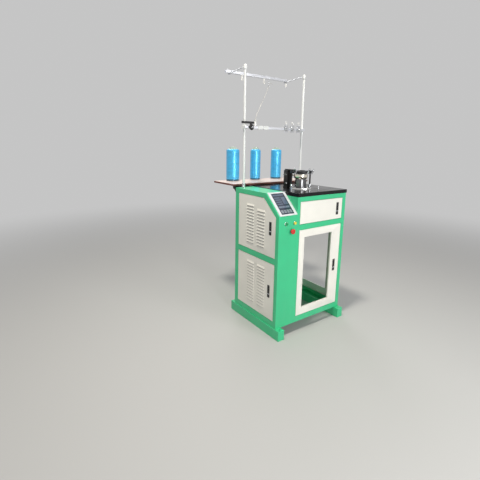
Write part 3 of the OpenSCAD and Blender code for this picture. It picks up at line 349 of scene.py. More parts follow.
def wound_yarn(name, light, dark, centre):
    """Glossy flat yarn, wound crosswise on a spool: fine slanting strands with a shine of their own."""
    f = Finish(name, light, 0.3, metallic=0.45, coat_weight=0.5, coat_roughness=0.16, coat_ior=1.7)
    middle = at(*centre, 0)
    across, deep = f.along("X") - middle.x, f.along("Y") - middle.y
    turn = deep.math("ARCTAN2", across)
    per_metre, slant = 430.0, 8.0
    height, lean = f.along("Z") * (2 * math.pi * per_metre), turn * slant
    strands = (height + lean).sine().math("MAXIMUM", (height - lean).sine())
    bands = f.noise(14.0, 3.0, f.stretched((1.0, 1.0, 3.0)))
    patch = f.noise(55.0, 4.0)
    shade = (bands.between(0.35, 0.8) * 0.28 + patch.between(0.4, 0.85) * 0.18
             + (1 - strands) * 0.08).limited()
    f.put("Base Color", f.blend(light, dark, shade))
    f.put("Roughness", 0.22 + patch * 0.2 + (1 - strands) * 0.05)
    return f.bump(strands * 0.6 + patch * 0.4, 0.00015, 0.45)


def screen_glass(name, colour):
    """Dark touch screen with a faint film of finger marks."""
    f = Finish(name, colour, 0.1, coat_weight=0.6, coat_roughness=0.05)
    marks = f.noise(45.0, 5.0).between(0.5, 0.8)
    f.put("Base Color", f.blend(colour, tint(colour, 1.5), marks * 0.6))
    f.put("Roughness", 0.08 + marks * 0.22)
    return f.material


def laminate(name, face, edge, low):
    """Board with a smooth pale face and a stained, rubbed edge."""
    f = Finish(name, face, 0.45, coat_weight=0.1, coat_roughness=0.25)
    flecks = f.noise(90.0, 5.0, f.stretched((0.2, 1.0, 1.0)))
    soil = f.noise(9.0, 4.0)
    side = 1 - f.facing("Z").math("ABSOLUTE").between(0.55, 0.8)
    top = f.blend(f.blend(face, tint(face, 0.86), flecks.between(0.45, 0.7)), tint(face, 0.7),
                  soil.between(0.55, 0.8) * 0.5)
    rim = f.blend(edge, low, f.noise(60.0, 4.0, f.stretched((0.15, 0.15, 1.0))).between(0.35, 0.7))
    f.put("Base Color", f.blend(top, rim, side))
    f.put("Roughness", 0.4 + soil * 0.15 + side * 0.2)
    return f.bump(flecks, 0.0001, 0.3)


def thread(name, colour):
    """Plied yarn with a twist along its path."""
    f = Finish(name, colour, 0.75, sheen_weight=0.3)
    ply = ((f.along("X") + f.along("Y") + f.along("Z")) * 2400.0).sine()
    fuzz = f.noise(900.0, 3.0)
    f.put("Base Color", f.blend(f.colour, tint(f.colour, 0.7), ply.between(-0.4, 0.9) * 0.5 + fuzz * 0.2))
    return f.bump(ply * 0.7 + fuzz * 0.3, 0.0003, 0.6)


class Palette:
    """Every finish of the machine, made once."""

    made = {}

    @classmethod
    def get(cls, label):
        return cls.made[label]

    @classmethod
    def fill(cls, look):
        green, cream, blue = (tuple(colour) for colour in (look.green, look.cream, look.yarn))
        m = cls.made
        m["green"] = powder_coat("green_powder", green)
        m["cream"] = powder_coat("cream_powder", cream, 0.4)
        # Darkened cream for the strips of painted shadow below the louvres
        m["dust"] = powder_coat("dusty_cream", tint(cream, 0.42), 0.6)
        m["white"] = powder_coat("white_powder", linear(226, 228, 227), 0.28)
        m["table"] = gloss_top("black_enamel", linear(17, 17, 19))
        m["black"] = cast_metal("blackened_steel", linear(26, 26, 28), 0.42, 0.35)
        m["drum"] = lathe_metal("polished_drum", (0.2, 0.2, 0.205), 0.2, HEAD, 1500.0)
        # Bright turned steel, used only as the painted highlight on the flange's rim
        m["turned"] = lathe_metal("turned_steel", (0.74, 0.73, 0.71), 0.22, HEAD, 2200.0)
        m["cam"] = lathe_metal("polished_cam", (0.93, 0.87, 0.74), 0.2, HEAD, 2600.0, oil=0.25)
        m["flange"] = lathe_metal("turned_flange", (0.16, 0.16, 0.165), 0.24, HEAD, 1900.0, oil=0.3)
        m["bright"] = drawn_metal("bright_steel", (0.74, 0.75, 0.77), 0.24)
        m["chrome"] = drawn_metal("chrome", (0.62, 0.63, 0.65), 0.12, grain=0.000005)
        m["rolled"] = drawn_metal("rolled_steel", (0.78, 0.79, 0.83), 0.38, "X")
        m["zinc"] = spangled_zinc("zinc_sheet", (0.6, 0.62, 0.64), 0.42)
        m["bolt"] = lathe_metal("zinc_bolt", (0.6, 0.6, 0.58), 0.34, oil=0.3)
        m["alloy"] = cast_metal("alloy", (0.55, 0.55, 0.56), 0.38, 1.0)
        m["motor"] = cast_metal("motor_paint", linear(44, 47, 50), 0.45)
        m["dark"] = cast_metal("dark_steel", linear(60, 60, 62), 0.4, 0.8)
        cap = (0.25, 900.0, 0.00003, 0.5)
        for label, name, shade, *surface in (
                ("black_paint", "black_paint", (24, 24, 25), 0.32, 420.0),
                ("lock", "lock_black", (5, 5, 6), 0.5, 800.0),
                ("belt", "belt_rubber", (22, 22, 22), 0.7, 500.0, 0.0002),
                ("bezel", "bezel_white", (208, 211, 215), 0.35, 900.0, 0.00005),
                ("start", "green_cap", (20, 150, 90), *cap), ("reset", "yellow_cap", (226, 214, 70), *cap),
                ("stop", "red_cap", (206, 40, 34), *cap),
                ("ceramic", "white_ceramic", (236, 234, 228), 0.12, 300.0, 0.00003, 0.6),
                ("core", "core_card", (150, 168, 156), 0.6, 400.0, 0.0002)):
            m[label] = moulded(name, linear(*shade), *surface)
        for i, x in enumerate(SPOOL_X, 1):
            m[f"yarn_{i}"] = wound_yarn(f"blue_yarn_{i}", blue, tint(blue, 0.42), (x, SPOOL_Y))
            # A darker copy of each yarn for its spool's lower rim: painted shade at the spool's foot
            m[f"rim_{i}"] = wound_yarn(f"blue_rim_{i}", tint(blue, 0.3), tint(blue, 0.14), (x, SPOOL_Y))
        m["screen"] = screen_glass("screen_glass", linear(44, 49, 64))
        m["field"] = screen_glass("screen_field", linear(84, 96, 116))
        m["key"] = screen_glass("screen_key", linear(120, 128, 138))
        m["board"] = laminate("creel_board", linear(226, 205, 196), linear(120, 66, 56), linear(78, 44, 40))
        m["thread"] = thread("pale_thread", linear(228, 222, 204))


# ---- mesh helpers


def linked(name, data):
    """A new object in the scene."""
    made = bpy.data.objects.new(name, data)
    bpy.context.scene.collection.objects.link(made)
    return made


def mesh_from(bm, name):
    mesh = bpy.data.meshes.new(name)
    bm.to_mesh(mesh)
    bm.free()
    return mesh


def keep_as(name, bm, finish, nodes=(), like=None, smooth=40.0):
    """A bmesh becomes a piece that stands for CAD nodes, or goes with the node that it is like."""
    bmesh.ops.triangulate(bm, faces=[f for f in bm.faces if len(f.verts) > 4])
    return settle(name, mesh_from(bm, name), finish, nodes, like, smooth)


def settle(name, mesh, finish, nodes=(), like=None, smooth=40.0):
    """Gives a mesh its finish, even normals and body, and hides the nodes that it stands for."""
    piece = linked(name, mesh)
    if not mesh.materials:
        for label in (finish if isinstance(finish, (list, tuple)) else [finish]):
            mesh.materials.append(Palette.get(label))
    mesh.shade_smooth()
    mesh.set_sharp_from_angle(angle=math.radians(smooth))
    even = piece.modifiers.new("even", "WEIGHTED_NORMAL")
    even.keep_sharp = True
    shaded = evaluated_mesh(piece)
    piece.modifiers.remove(even)
    piece.data = shaded
    bpy.data.meshes.remove(mesh)
    shaded.name = name
    model = like or nodes[0]
    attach(piece, body_of(model))
    slot_of(model)
    if nodes:
        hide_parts(*nodes)
    return piece


def evaluated_mesh(piece):
    graph = bpy.context.evaluated_depsgraph_get()
    graph.update()
    final = piece.evaluated_get(graph)
    return bpy.data.meshes.new_from_object(final, preserve_all_data_layers=True, depsgraph=graph)


def bare_copy(node):
    """A CAD node's shape with its corners merged."""
    bm = bmesh.new()
    bm.from_mesh(NODES[node].data)
    for layer in list(bm.loops.layers.uv):
        bm.loops.layers.uv.remove(layer)
    bmesh.ops.remove_doubles(bm, verts=bm.verts, dist=3e-5)
    return bm


def bevel(bm, edges, offset, segments):
    bmesh.ops.bevel(bm, geom=edges, offset=offset, offset_type="OFFSET", segments=segments,
                    profile=0.5, affect="EDGES", clamp_overlap=True)


def round_edges(bm, width, least=3.0, segments=2):
    """Rounds the outer edges between faces that are both wide enough for it."""
    def wide(face, edge):
        height = 2 * face.calc_area() / max(edge.calc_length(), 1e-9)
        return height > least * width * MM

    chosen = [e for e in bm.edges
              if e.is_manifold and e.is_convex and e.calc_face_angle(0) > math.radians(33)
              and all(wide(f, e) for f in e.link_faces)]
    bevel(bm, chosen, width * MM, segments)
    return bm


def body_of(node):
    return NODES[node]["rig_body"]


def slot_of(node):
    return next(s["material_slot"] for s in frame["record"]["subparts"] if s["node"] == node)


def within(low, high):
    """A test of whether a point in cabinet millimetres lies in a box, or almost."""
    return lambda p: all(l - SLACK <= c <= h + SLACK for l, c, h in zip(low, p, high))


def zoned(bm, zones):
    """Gives the faces in a zone its finish, counted from 1; the first zone that fits holds."""
    places = {v: cabinet(v.co) for v in bm.verts}
    for face in bm.faces:
        for slot, (_, test) in enumerate(zones, 1):
            if all(test(places[v]) for v in face.verts):
                face.material_index = slot
                break
    return bm


def finished(node, finish, width, segments=2, least=3.0, zones=()):
    """A CAD node with rounded edges, in its place. A zone is a finish and the test of where it goes."""
    bm = zoned(round_edges(bare_copy(node), width, least, segments), zones)
    return keep_as(node + "_skin", bm, [finish, *(label for label, _ in zones)], [node], smooth=SHARP)


def rounded_path(points, radius, steps=3):
    """A path with its inner corners rounded; points are pairs."""
    path = [points[0]]
    for before, corner, after in zip(points, points[1:], points[2:]):
        a, b, c = Vector(before), Vector(corner), Vector(after)
        reach = min(radius, (a - b).length * 0.45, (c - b).length * 0.45)
        start, end = b + (a - b).normalized() * reach, b + (c - b).normalized() * reach
        for i in range(steps + 1):
            t = i / steps
            path.append(tuple(start * (1 - t) ** 2 + b * 2 * t * (1 - t) + end * t * t))
    return [*path, points[-1]]


def turned(bm, profile, place, turns=64, fillet=0.6):
    """Adds a solid of revolution. profile has (radius, height) in mm; place takes its axis to the frame."""
    path = rounded_path(profile, fillet) if fillet else profile
    around, on_axis = [2 * math.pi * k / turns for k in range(turns)], 1e-6
    rings = [[bm.verts.new(place @ Vector((r * MM * math.cos(a), r * MM * math.sin(a), z * MM)))
              for a in (around if r > on_axis else [0.0])] for r, z in path]
    closed = profile[0][0] > on_axis and profile[-1][0] > on_axis
    pairs = list(zip(rings, rings[1:])) + ([(rings[-1], rings[0])] if closed else [])
    made = []
    for low, high in pairs:
        for k in range(turns):
            n = (k + 1) % turns
            if len(low) == 1:
                corners = (low[0], high[n], high[k])
            elif len(high) == 1:
                corners = (low[k], low[n], high[0])
            else:
                corners = (low[k], low[n], high[n], high[k])
            made.append(bm.faces.new(corners))
    bmesh.ops.recalc_face_normals(bm, faces=made)


def upright(x, y, z):
    return Matrix.Translation(at(x, y, z))


def block(bm, low, high, width, place=Matrix.Identity(4), segments=2):
    """Adds a box with rounded edges; its corners are in mm in place's own axes."""
    made = bmesh.ops.create_cube(bm, size=1.0)["verts"]
    size = [(h - l) * MM for l, h in zip(low, high)]
    middle = [(h + l) / 2 * MM for l, h in zip(low, high)]
    shape = place @ Matrix.Translation(middle) @ Matrix.Diagonal((*size, 1))
    bmesh.ops.transform(bm, matrix=shape, verts=made)
    edges = list({e for v in made for e in v.link_edges})
    if width:
        bevel(bm, edges, min(width * MM, min(size) * 0.45), segments)


def flowing(points, steps=4):
    """More points on a smooth line that passes through the given ones."""
    p = [Vector(q) for q in points]
    ends = [p[0] * 2 - p[1], *p, p[-1] * 2 - p[-2]]
    line = []
    for a, b, c, d in zip(ends, ends[1:], ends[2:], ends[3:]):
        for i in range(steps):
            t = i / steps
            line.append(((b * 2) + (c - a) * t + (a * 2 - b * 5 + c * 4 - d) * t * t
                         + (b * 3 - a - c * 3 + d) * t ** 3) / 2)
    return [*line, p[-1]]


def wire_mesh(points, radius, sides):
    """A round wire through points in the model's frame, in metres."""
    curve = bpy.data.curves.new("wire", "CURVE")
    curve.dimensions = "3D"
    curve.bevel_depth = radius * MM
    curve.bevel_resolution = max(1, sides // 4)
    curve.use_fill_caps = True
    spline = curve.splines.new("POLY")
    spline.points.add(len(points) - 1)
    for point, target in zip(spline.points, points):
        point.co = (*target, 1)
    carrier = linked("wire", curve)
    mesh = evaluated_mesh(carrier)
    bpy.data.objects.remove(carrier)
    return mesh


def add_mesh(bm, mesh):
    bm.from_mesh(mesh)
    bpy.data.meshes.remove(mesh)


# ---- geometry nodes


class Growth(Nodes):
    """A tree that makes what repeats. Its inputs are named, and it ends in Set Material."""

    def __init__(self, name, **inputs):
        super().__init__(bpy.data.node_groups.new(name, "GeometryNodeTree"))
        for label, kind in {"Geometry": "Geometry", **inputs, "Material": "Material"}.items():
            self.tree.interface.new_socket(label, in_out="INPUT", socket_type="NodeSocket" + kind)
        self.tree.interface.new_socket("Geometry", in_out="OUTPUT", socket_type="NodeSocketGeometry")
        self.start = self.tree.nodes.new("NodeGroupInput")

    def given(self, label):
        return Value(self, self.start.outputs[label])

    def scatter(self, points, turn):
        """Puts the item on each point, and ends the tree."""
        item = self.node("GeometryNodeObjectInfo", {}, {"Object": self.given("Item")}, "Geometry")
        return self.finish(self.node("GeometryNodeInstanceOnPoints", {},
                                     {"Points": points, "Instance": item, "Rotation": turn}))

    def finish(self, geometry):
        whole = self.node("GeometryNodeRealizeInstances", {}, {0: geometry})
        dressed = self.node("GeometryNodeSetMaterial", {},
                            {"Geometry": whole, "Material": self.given("Material")})
        self.join(self.tree.nodes.new("NodeGroupOutput").inputs[0], dressed)
        return self.tree


def grow(name, tree, base, finish, nodes=(), like=None, **values):
    """Runs a tree on a base mesh and keeps the plain mesh that comes out."""
    carrier = linked(name + "_base", base)
    modifier = carrier.modifiers.new("growth", "NODES")
    modifier.node_group = tree
    values["Material"] = Palette.get(finish)
    for item in tree.interface.items_tree:
        if item.in_out == "INPUT" and item.name in values:
            modifier[item.identifier] = values[item.name]
    mesh = evaluated_mesh(carrier)
    bpy.data.objects.remove(carrier)
    for item in values.values():
        if isinstance(item, bpy.types.Object):
            bpy.data.objects.remove(item)
    return settle(name, mesh, finish, nodes, like)


def item_object(bm):
    """A single item for a tree to repeat; grow() removes it."""
    return linked("item", mesh_from(bm, "item"))


def places_mesh(places):
    """Points with the way that each item's Z axis points."""
    mesh = bpy.data.meshes.new("places")
    mesh.from_pydata([p for p, _ in places], [], [])
    way = mesh.attributes.new("way", "FLOAT_VECTOR", "POINT")
    way.data.foreach_set("vector", [c for _, w in places for c in w])
    return mesh


def tree_at_places():
    """Puts an item at each point, its Z axis along the point's way."""
    g = Growth("items_at_places", Item="Object")
    way = g.node("GeometryNodeInputNamedAttribute", {"data_type": "FLOAT_VECTOR"}, {"Name": "way"})
    turn = g.node("FunctionNodeAlignRotationToVector", {"axis": "Z"}, {"Vector": way})
    return g.scatter(g.given("Geometry"), turn)


def tree_in_ring():
    """Repeats an item round an upright axis, each one lifted by its place in the ring."""
    g = Growth("items_in_ring", Item="Object", Count="Int", Centre="Vector", Lift="Float", Waves="Float")
    ring = g.node("GeometryNodeMeshCircle", {}, {"Vertices": g.given("Count"), "Radius": 1.0})
    angle = (g.node("GeometryNodeInputIndex", {}, {}) * (2 * math.pi)).math("DIVIDE", g.given("Count"))
    lift = (1 - (angle * g.given("Waves")).math("COSINE")) * g.given("Lift")
    up = g.node("CombineXYZ", {}, {2: lift})
    spot = g.node("VectorMath", {"operation": "ADD"}, {0: up, 1: g.given("Centre")})
    placed = g.node("GeometryNodeSetPosition", {}, {"Geometry": ring, "Position": spot})
    return g.scatter(placed, g.node("CombineXYZ", {}, {2: angle}))


def tree_of_coil():
    """A wire coil, such as a spring."""
    g = Growth("coil", Turns="Float", Radius="Float", Height="Float", Wire="Float", Centre="Vector",
               Tilt="Vector")
    spiral = g.node("GeometryNodeCurveSpiral", {}, {
        "Resolution": 24, "Rotations": g.given("Turns"), "Start Radius": g.given("Radius"),
        "End Radius": g.given("Radius"), "Height": g.given("Height")})
    section = g.node("GeometryNodeCurvePrimitiveCircle", {}, {"Resolution": 8, "Radius": g.given("Wire")})
    wire = g.node("GeometryNodeCurveToMesh", {},
                  {"Curve": spiral, "Profile Curve": section, "Fill Caps": True})
    return g.finish(g.node("GeometryNodeTransform", {}, {
        "Geometry": wire, "Translation": g.given("Centre"), "Rotation": g.given("Tilt")}))


class Trees:
    """The trees, made once."""

    made = {}

    @classmethod
    def fill(cls):
        cls.made = {"places": tree_at_places(), "ring": tree_in_ring(), "coil": tree_of_coil()}


# ---- settings


def paint(name, use, *shade):
    return FloatVectorProperty(name=name, description="Colour of " + use, subtype="COLOR", min=0, max=1,
                               default=linear(*shade))


def lamp_power(name, place, watts):
    return FloatProperty(name=name, description="Power of the light " + place, subtype="POWER",
                         min=0, max=2000, default=watts)


class LookSettings(bpy.types.PropertyGroup):
    green: paint("Green", "the cabinet's frame", 58, 200, 140)
    cream: paint("Cream", "the doors", 243, 241, 232)
    yarn: paint("Yarn", "the wound yarn", 74, 196, 252)


class CabinetSettings(bpy.types.PropertyGroup):
    fold: FloatProperty(name="Fold radius", description="Outer radius of the folded sheet", unit="LENGTH",
                        min=0.0005, max=0.004, default=0.0022)
    screw: FloatProperty(name="Screw size", description="Diameter of the panel screws' heads", unit="LENGTH",
                         min=0.006, max=0.014, default=0.01)


class HeadSettings(bpy.types.PropertyGroup):
    needles: IntProperty(name="Needles", description="Number of needles round the cylinder", min=24, max=36,
                         default=32)
    needle_lift: FloatProperty(name="Needle lift", description="Half of the stroke that the cams give",
                               unit="LENGTH", min=0.0, max=0.004, default=0.003)


class StageSettings(bpy.types.PropertyGroup):
    key: lamp_power("Key light", "at the front right", 60)
    window: lamp_power("Window light", "in front, tall and narrow", 50)
    side: lamp_power("Side light", "high at the left", 120)
    top: lamp_power("Top light", "overhead", 15)
    back: lamp_power("Back light", "high behind", 45)
    fill: FloatProperty(name="Fill", description="Strength of the light from all round", min=0, max=2,
                        default=0.27)


class Step(bpy.types.Operator):
    """One step of the build."""

    bl_idname = "knitter.step"
    bl_label = "Step"
    bl_options = {"REGISTER"}

    def execute(self, context):
        self.build(context.scene)
        return {"FINISHED"}


# ---- stage and finishes


class MakeStage(Step):
    """Floor, lights and the camera"""

    bl_idname = "knitter.stage"
    bl_label = "Stage"

    def build(self, scene):
        self.camera(scene)
        self.floor()
        self.lights(scene)
        scene.view_settings.view_transform = "Standard"

    def camera(self, scene):
        eye = (-1.8985, -2.0275, 1.437)
        yaw, pitch, roll = (math.radians(a) for a in (-35.0, -11.46, 0.81))
        ahead = Vector((math.sin(-yaw) * math.cos(pitch), math.cos(-yaw) * math.cos(pitch), math.sin(pitch)))
        level = ahead.cross(Vector((0, 0, 1))).normalized()
        above = level.cross(ahead)
        right = level * math.cos(roll) + above * math.sin(roll)
        up = above * math.cos(roll) - level * math.sin(roll)
        data = bpy.data.cameras.new("camera")
        data.sensor_width, data.lens = 36.0, 25.09
        data.shift_x, data.shift_y = -0.0057, -0.053
        camera = linked("camera", data)
        turn = Matrix((right, up, -ahead)).transposed().to_4x4()
        camera.matrix_world = Matrix.Translation(eye) @ turn
        scene.camera = camera

    def floor(self):
        bm = bmesh.new()
        bmesh.ops.create_circle(bm, cap_ends=True, segments=96, radius=60.0)
        floor = linked("floor", mesh_from(bm, "floor"))
        f = Finish("floor", (0.5, 0.5, 0.495), 0.8)
        distance = f.node("VectorMath", {"operation": "LENGTH"}, {0: f.place()}, "Value")
        near, edge = 1.7, 6.5
        far = distance.between(near, edge)
        glow = f.node("Emission", {}, {"Color": (STUDIO, STUDIO, STUDIO), "Strength": 1.0})
        shaded = f.node("MixShader", {}, {0: far, 1: Value(f, f.shader.outputs[0]), 2: glow})
        f.join(f.tree.nodes["Material Output"].inputs["Surface"], shaded)
        floor.data.materials.append(f.material)

    def lights(self, scene):
        look = scene.knitter_stage
        world = bpy.data.worlds.new("studio")
        world.use_nodes = True
        scene.world = world
        n = Nodes(world.node_tree)
        seen, glossy, through = (n.node("LightPath", {}, {}, f"Is {kind} Ray")
                                 for kind in ("Camera", "Glossy", "Transmission"))
        open_to_studio = seen.math("MAXIMUM", glossy).math("MAXIMUM", through)
        background = n.tree.nodes["Background"].inputs
        n.join(background["Strength"], n.node("Mix", {}, {0: open_to_studio, 2: look.fill, 3: STUDIO}))
        n.join(background["Color"], (1, 1, 1))
        self.lamp("key_light", (1.2, -4.3, 2.5), (0.0, 0.0, 1.0), (1.4, 1.4), look.key)
        self.lamp("window_light", (-0.8, -3.6, 1.15), (0.0, 0.0, 1.1), (0.7, 1.4), look.window)
        self.lamp("side_light", (-1.25, -0.45, 4.5), (-0.4, 0.0, 0.7), (0.5, 0.5), look.side,
                  (1.0, 0.95, 0.85))
        self.lamp("top_light", (0.4, 0.9, 4.6), (0.0, 0.1, 1.0), (2.6, 2.6), look.top)
        self.lamp("back_light", (1.5, 3.4, 4.0), (0.0, 0.0, 0.9), (1.8, 1.8), look.back)

    def lamp(self, name, place, target, size, power, colour=(1, 1, 1)):
        data = bpy.data.lights.new(name, "AREA")
        data.shape, data.energy = "RECTANGLE", power
        data.size, data.size_y = size
        data.color = colour
        lamp = linked(name, data)
        lamp.visible_camera = False
        lamp.location = place
        lamp.rotation_mode = "QUATERNION"
        lamp.rotation_quaternion = (Vector(target) - Vector(place)).to_track_quat("-Z", "Y")


class MakeFinishes(Step):
    """The materials and the trees that the other steps use"""

    bl_idname = "knitter.finishes"
    bl_label = "Finishes"

    def build(self, scene):
        Palette.fill(scene.knitter_look)
        Trees.fill()


class MakeYarn(Step):
    """The yarn that runs from its guide tube over the thin eyelet"""

    bl_idname = "knitter.yarn"
    bl_label = "Yarn"

    def build(self, scene):
        line = flowing([at(*p) for p in YARN_ROUTE])
        bm = bmesh.new()
        add_mesh(bm, wire_mesh(line, YARN_D / 2, 12))
        piece = keep_as("pale_yarn", bm, "thread", ["yarn"], smooth=60.0)
        length = sum((b - a).length for a, b in zip(line, line[1:]))


# ---- cabinet


class MakeCabinet(Step):
    """Rails, folded frames, hood and rear panel"""

    bl_idname = "knitter.cabinet"
    bl_label = "Cabinet"

    def build(self, scene):
        fold = scene.knitter_cabinet.fold * 1000
        finished("base_rails", "green", fold)
        for node in ("front_frame", "left_frame", "right_frame", "rear_panel", "partition", "control_hood"):
            finished(node, "green", fold * 0.8, least=2.0)
        finished("drive_shelf", "zinc", 1.0)
        finished("table_top", "table", 3.0, 3)


class MakeScrews(Step):
    """Button head screws of the panels and the knitting head"""

    bl_idname = "knitter.screws"
    bl_label = "Screws"

    def build(self, scene):
        size = scene.knitter_cabinet.screw * 1000
        places = []
        reach = FLANGE_D / 2 - 16
        for turn in map(math.radians, (10, 100, 190, 280)):
            x, y = HEAD[0] + reach * math.cos(turn), HEAD[1] + reach * math.sin(turn)
            places.append((at(x, y, TABLE_Z + FLANGE_H), (0, 0, 1)))
        places += [(at(x, BODY_D, z), (0, 1, 0))
                   for x in (20, BODY_W / 2, BODY_W - 20) for z in (30, 500, 970)]
        grow("panel_screws", Trees.made["places"], places_mesh(places), "bolt", ["screws"],
             Item=item_object(self.head(size)))
        bm = bmesh.new()
        turned(bm, [(0, 0), (4, 0), (4, 21), (3, 24), (0, 25)], upright(*PEG, TABLE_Z), 32, 1.0)
        keep_as("table_peg", bm, "chrome", like="screws")

    def head(self, size):
        bm = bmesh.new()
        r = size / 2
        turned(bm, [(0, 0), (r, 0), (r, 1.2), (r * 0.8, 2.6), (r * 0.5, 3.0), (r * 0.45, 3.0),
                    (r * 0.45, 1.2), (0, 1.2)], Matrix.Identity(4), 24, 0.3)
        return bm


class MakeDoors(Step):
    """Door pans with their windows and pressed louvres"""

    bl_idname = "knitter.doors"
    bl_label = "Doors"

    def build(self, scene):
        for label, lock in LOCKS.items():
            finished(label + "_door", "cream", 1.4, least=2.0, zones=[("lock", self.cup(*lock))])
        for door in ("left_upper_door", "left_lower_door"):
            self.shade(door)

    def shade(self, door):
        """A painted shadow: a strip of darkened sheet below each louvre, found from the louvres' slanted
        faces.
        """
        model = NODES[door]
        feet = set()
        for face in model.data.polygons:
            if face.normal.x < -0.9 and 0.3 < face.normal.z < 0.4:
                corners = [cabinet(model.matrix_world @ model.data.vertices[v].co) for v in face.vertices]
                along = [p.y for p in corners]
                feet.add((round(max(p.x for p in corners), 1), round(min(along)), round(max(along)),
                          round(min(p.z for p in corners), 1)))
        thick, inset, top, bottom = 0.2, 2.0, 0.2, 7.4
        bm = bmesh.new()
        # Each strip lies on the sheet under a louvre's lip; its darkened cream is painted shadow
        for x, y0, y1, z in sorted(feet):
            low, high = at(x - thick, y0 + inset, z - bottom), at(x + thick, y1 - inset, z - top)
            block(bm, low / MM, high / MM, 0)
        keep_as(door.replace("door", "dust"), bm, "dust", like=door)

    def cup(self, side, along, height):
        """The black cup of a lock, set in its door."""
        half, tall, deep = 13.2, 50.2, 17.3
        if side == "front":
            return within((along - half, -2, height - tall), (along + half, deep, height + tall))
        x = (-2, deep) if side == "left" else (BODY_W - deep, BODY_W + 2)
        return within((x[0], along - half, height - tall), (x[1], along + half, height + tall))


class MakeLocks(Step):
    """Plane locks: levers and push buttons"""

    bl_idname = "knitter.locks"
    bl_label = "Locks"

    def build(self, scene):
        for place, (side, _, _) in LOCKS.items():
            finished(f"{place}_push", "lock", 0.6, least=2.0)
            low, high = map(Vector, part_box(f"{place}_push"))
            self.lever(f"{place}_lever", side, cabinet((low + high) / 2).z)

    def lever(self, node, side, push_z):
        """A lever with a pale band across its end beside the push button: a painted highlight in white bezel
        plastic.
        """
        bm = round_edges(bare_copy(node), 0.6, 2.0)
        axis, sign = (1, -1) if side == "front" else (0, 1 if side == "right" else -1)
        points = [cabinet(v.co) for v in bm.verts]
        face = max(sign * p[axis] for p in points) - 2.5
        heights = [p.z for p in points if sign * p[axis] > face]
        below = push_z < sum(heights) / len(heights)
        low = min(heights) + 0.5 if below else max(heights) - 0.5 - HIGHLIGHT_BAND
        for z in (low, low + HIGHLIGHT_BAND):
            bmesh.ops.bisect_plane(bm, geom=[*bm.verts, *bm.edges, *bm.faces], dist=1e-6,
                                   plane_co=at(0, 0, z), plane_no=(0, 0, 1))
        # The band's white bezel plastic is a painted highlight
        zoned(bm, [("bezel", lambda p: low - 0.1 < p.z < low + HIGHLIGHT_BAND + 0.1 and sign * p[axis] > face)])
        keep_as(node + "_skin", bm, ["lock", "bezel"], [node], smooth=SHARP)


class MakeOperatorPanel(Step):
    """Bezel, screen and push buttons"""

    bl_idname = "knitter.operator_panel"
    bl_label = "Operator panel"

    def build(self, scene):
        finished("operator_panel", "bezel", 1.5, 3)
        finished("panel_screen", "screen", 0.3)
        self.fields()
        for node, finish in (("button_holders", "chrome"), ("start_button", "start"),
                             ("reset_button", "reset"), ("stop_button", "stop"), ("control_plate", "zinc")):
            finished(node, finish, 0.8)

    def fields(self):
        """Plain fields and keys on the screen, without any lettering."""
        low, high = (Vector(c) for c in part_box("panel_screen"))
        along = Vector((0, SLOPE_RUN, SLOPE_RISE)).normalized()
        out = Vector((0, -SLOPE_RISE, SLOPE_RUN)).normalized()
        turn = Matrix((Vector((1, 0, 0)), along, out)).transposed().to_4x4()
        place = Matrix.Translation((low + high) / 2) @ turn
        fields = [(-52, 72, 52, 84), *((-52, y, 4, y + 11) for y in (48, 29, 10, -9)),
                  (12, -9, 52, 59), (-52, -40, 52, -20)]
        keys = [*((x, -84, x + 22, -56) for x in (-52, -25, 2, 29)),
                *((x, -34, x + 8, -26) for x in (-46, -30, -14, 2, 18, 34))]
        for name, finish, lift, areas in (("screen_fields", "field", 1.0, fields),
                                          ("screen_keys", "key", 1.25, keys)):
            bm = bmesh.new()
            for x0, y0, x1, y1 in areas:
                block(bm, (x0, y0, lift), (x1, y1, lift + 0.3), 0.1, place, 1)
            keep_as(name, bm, finish, like="panel_screen")


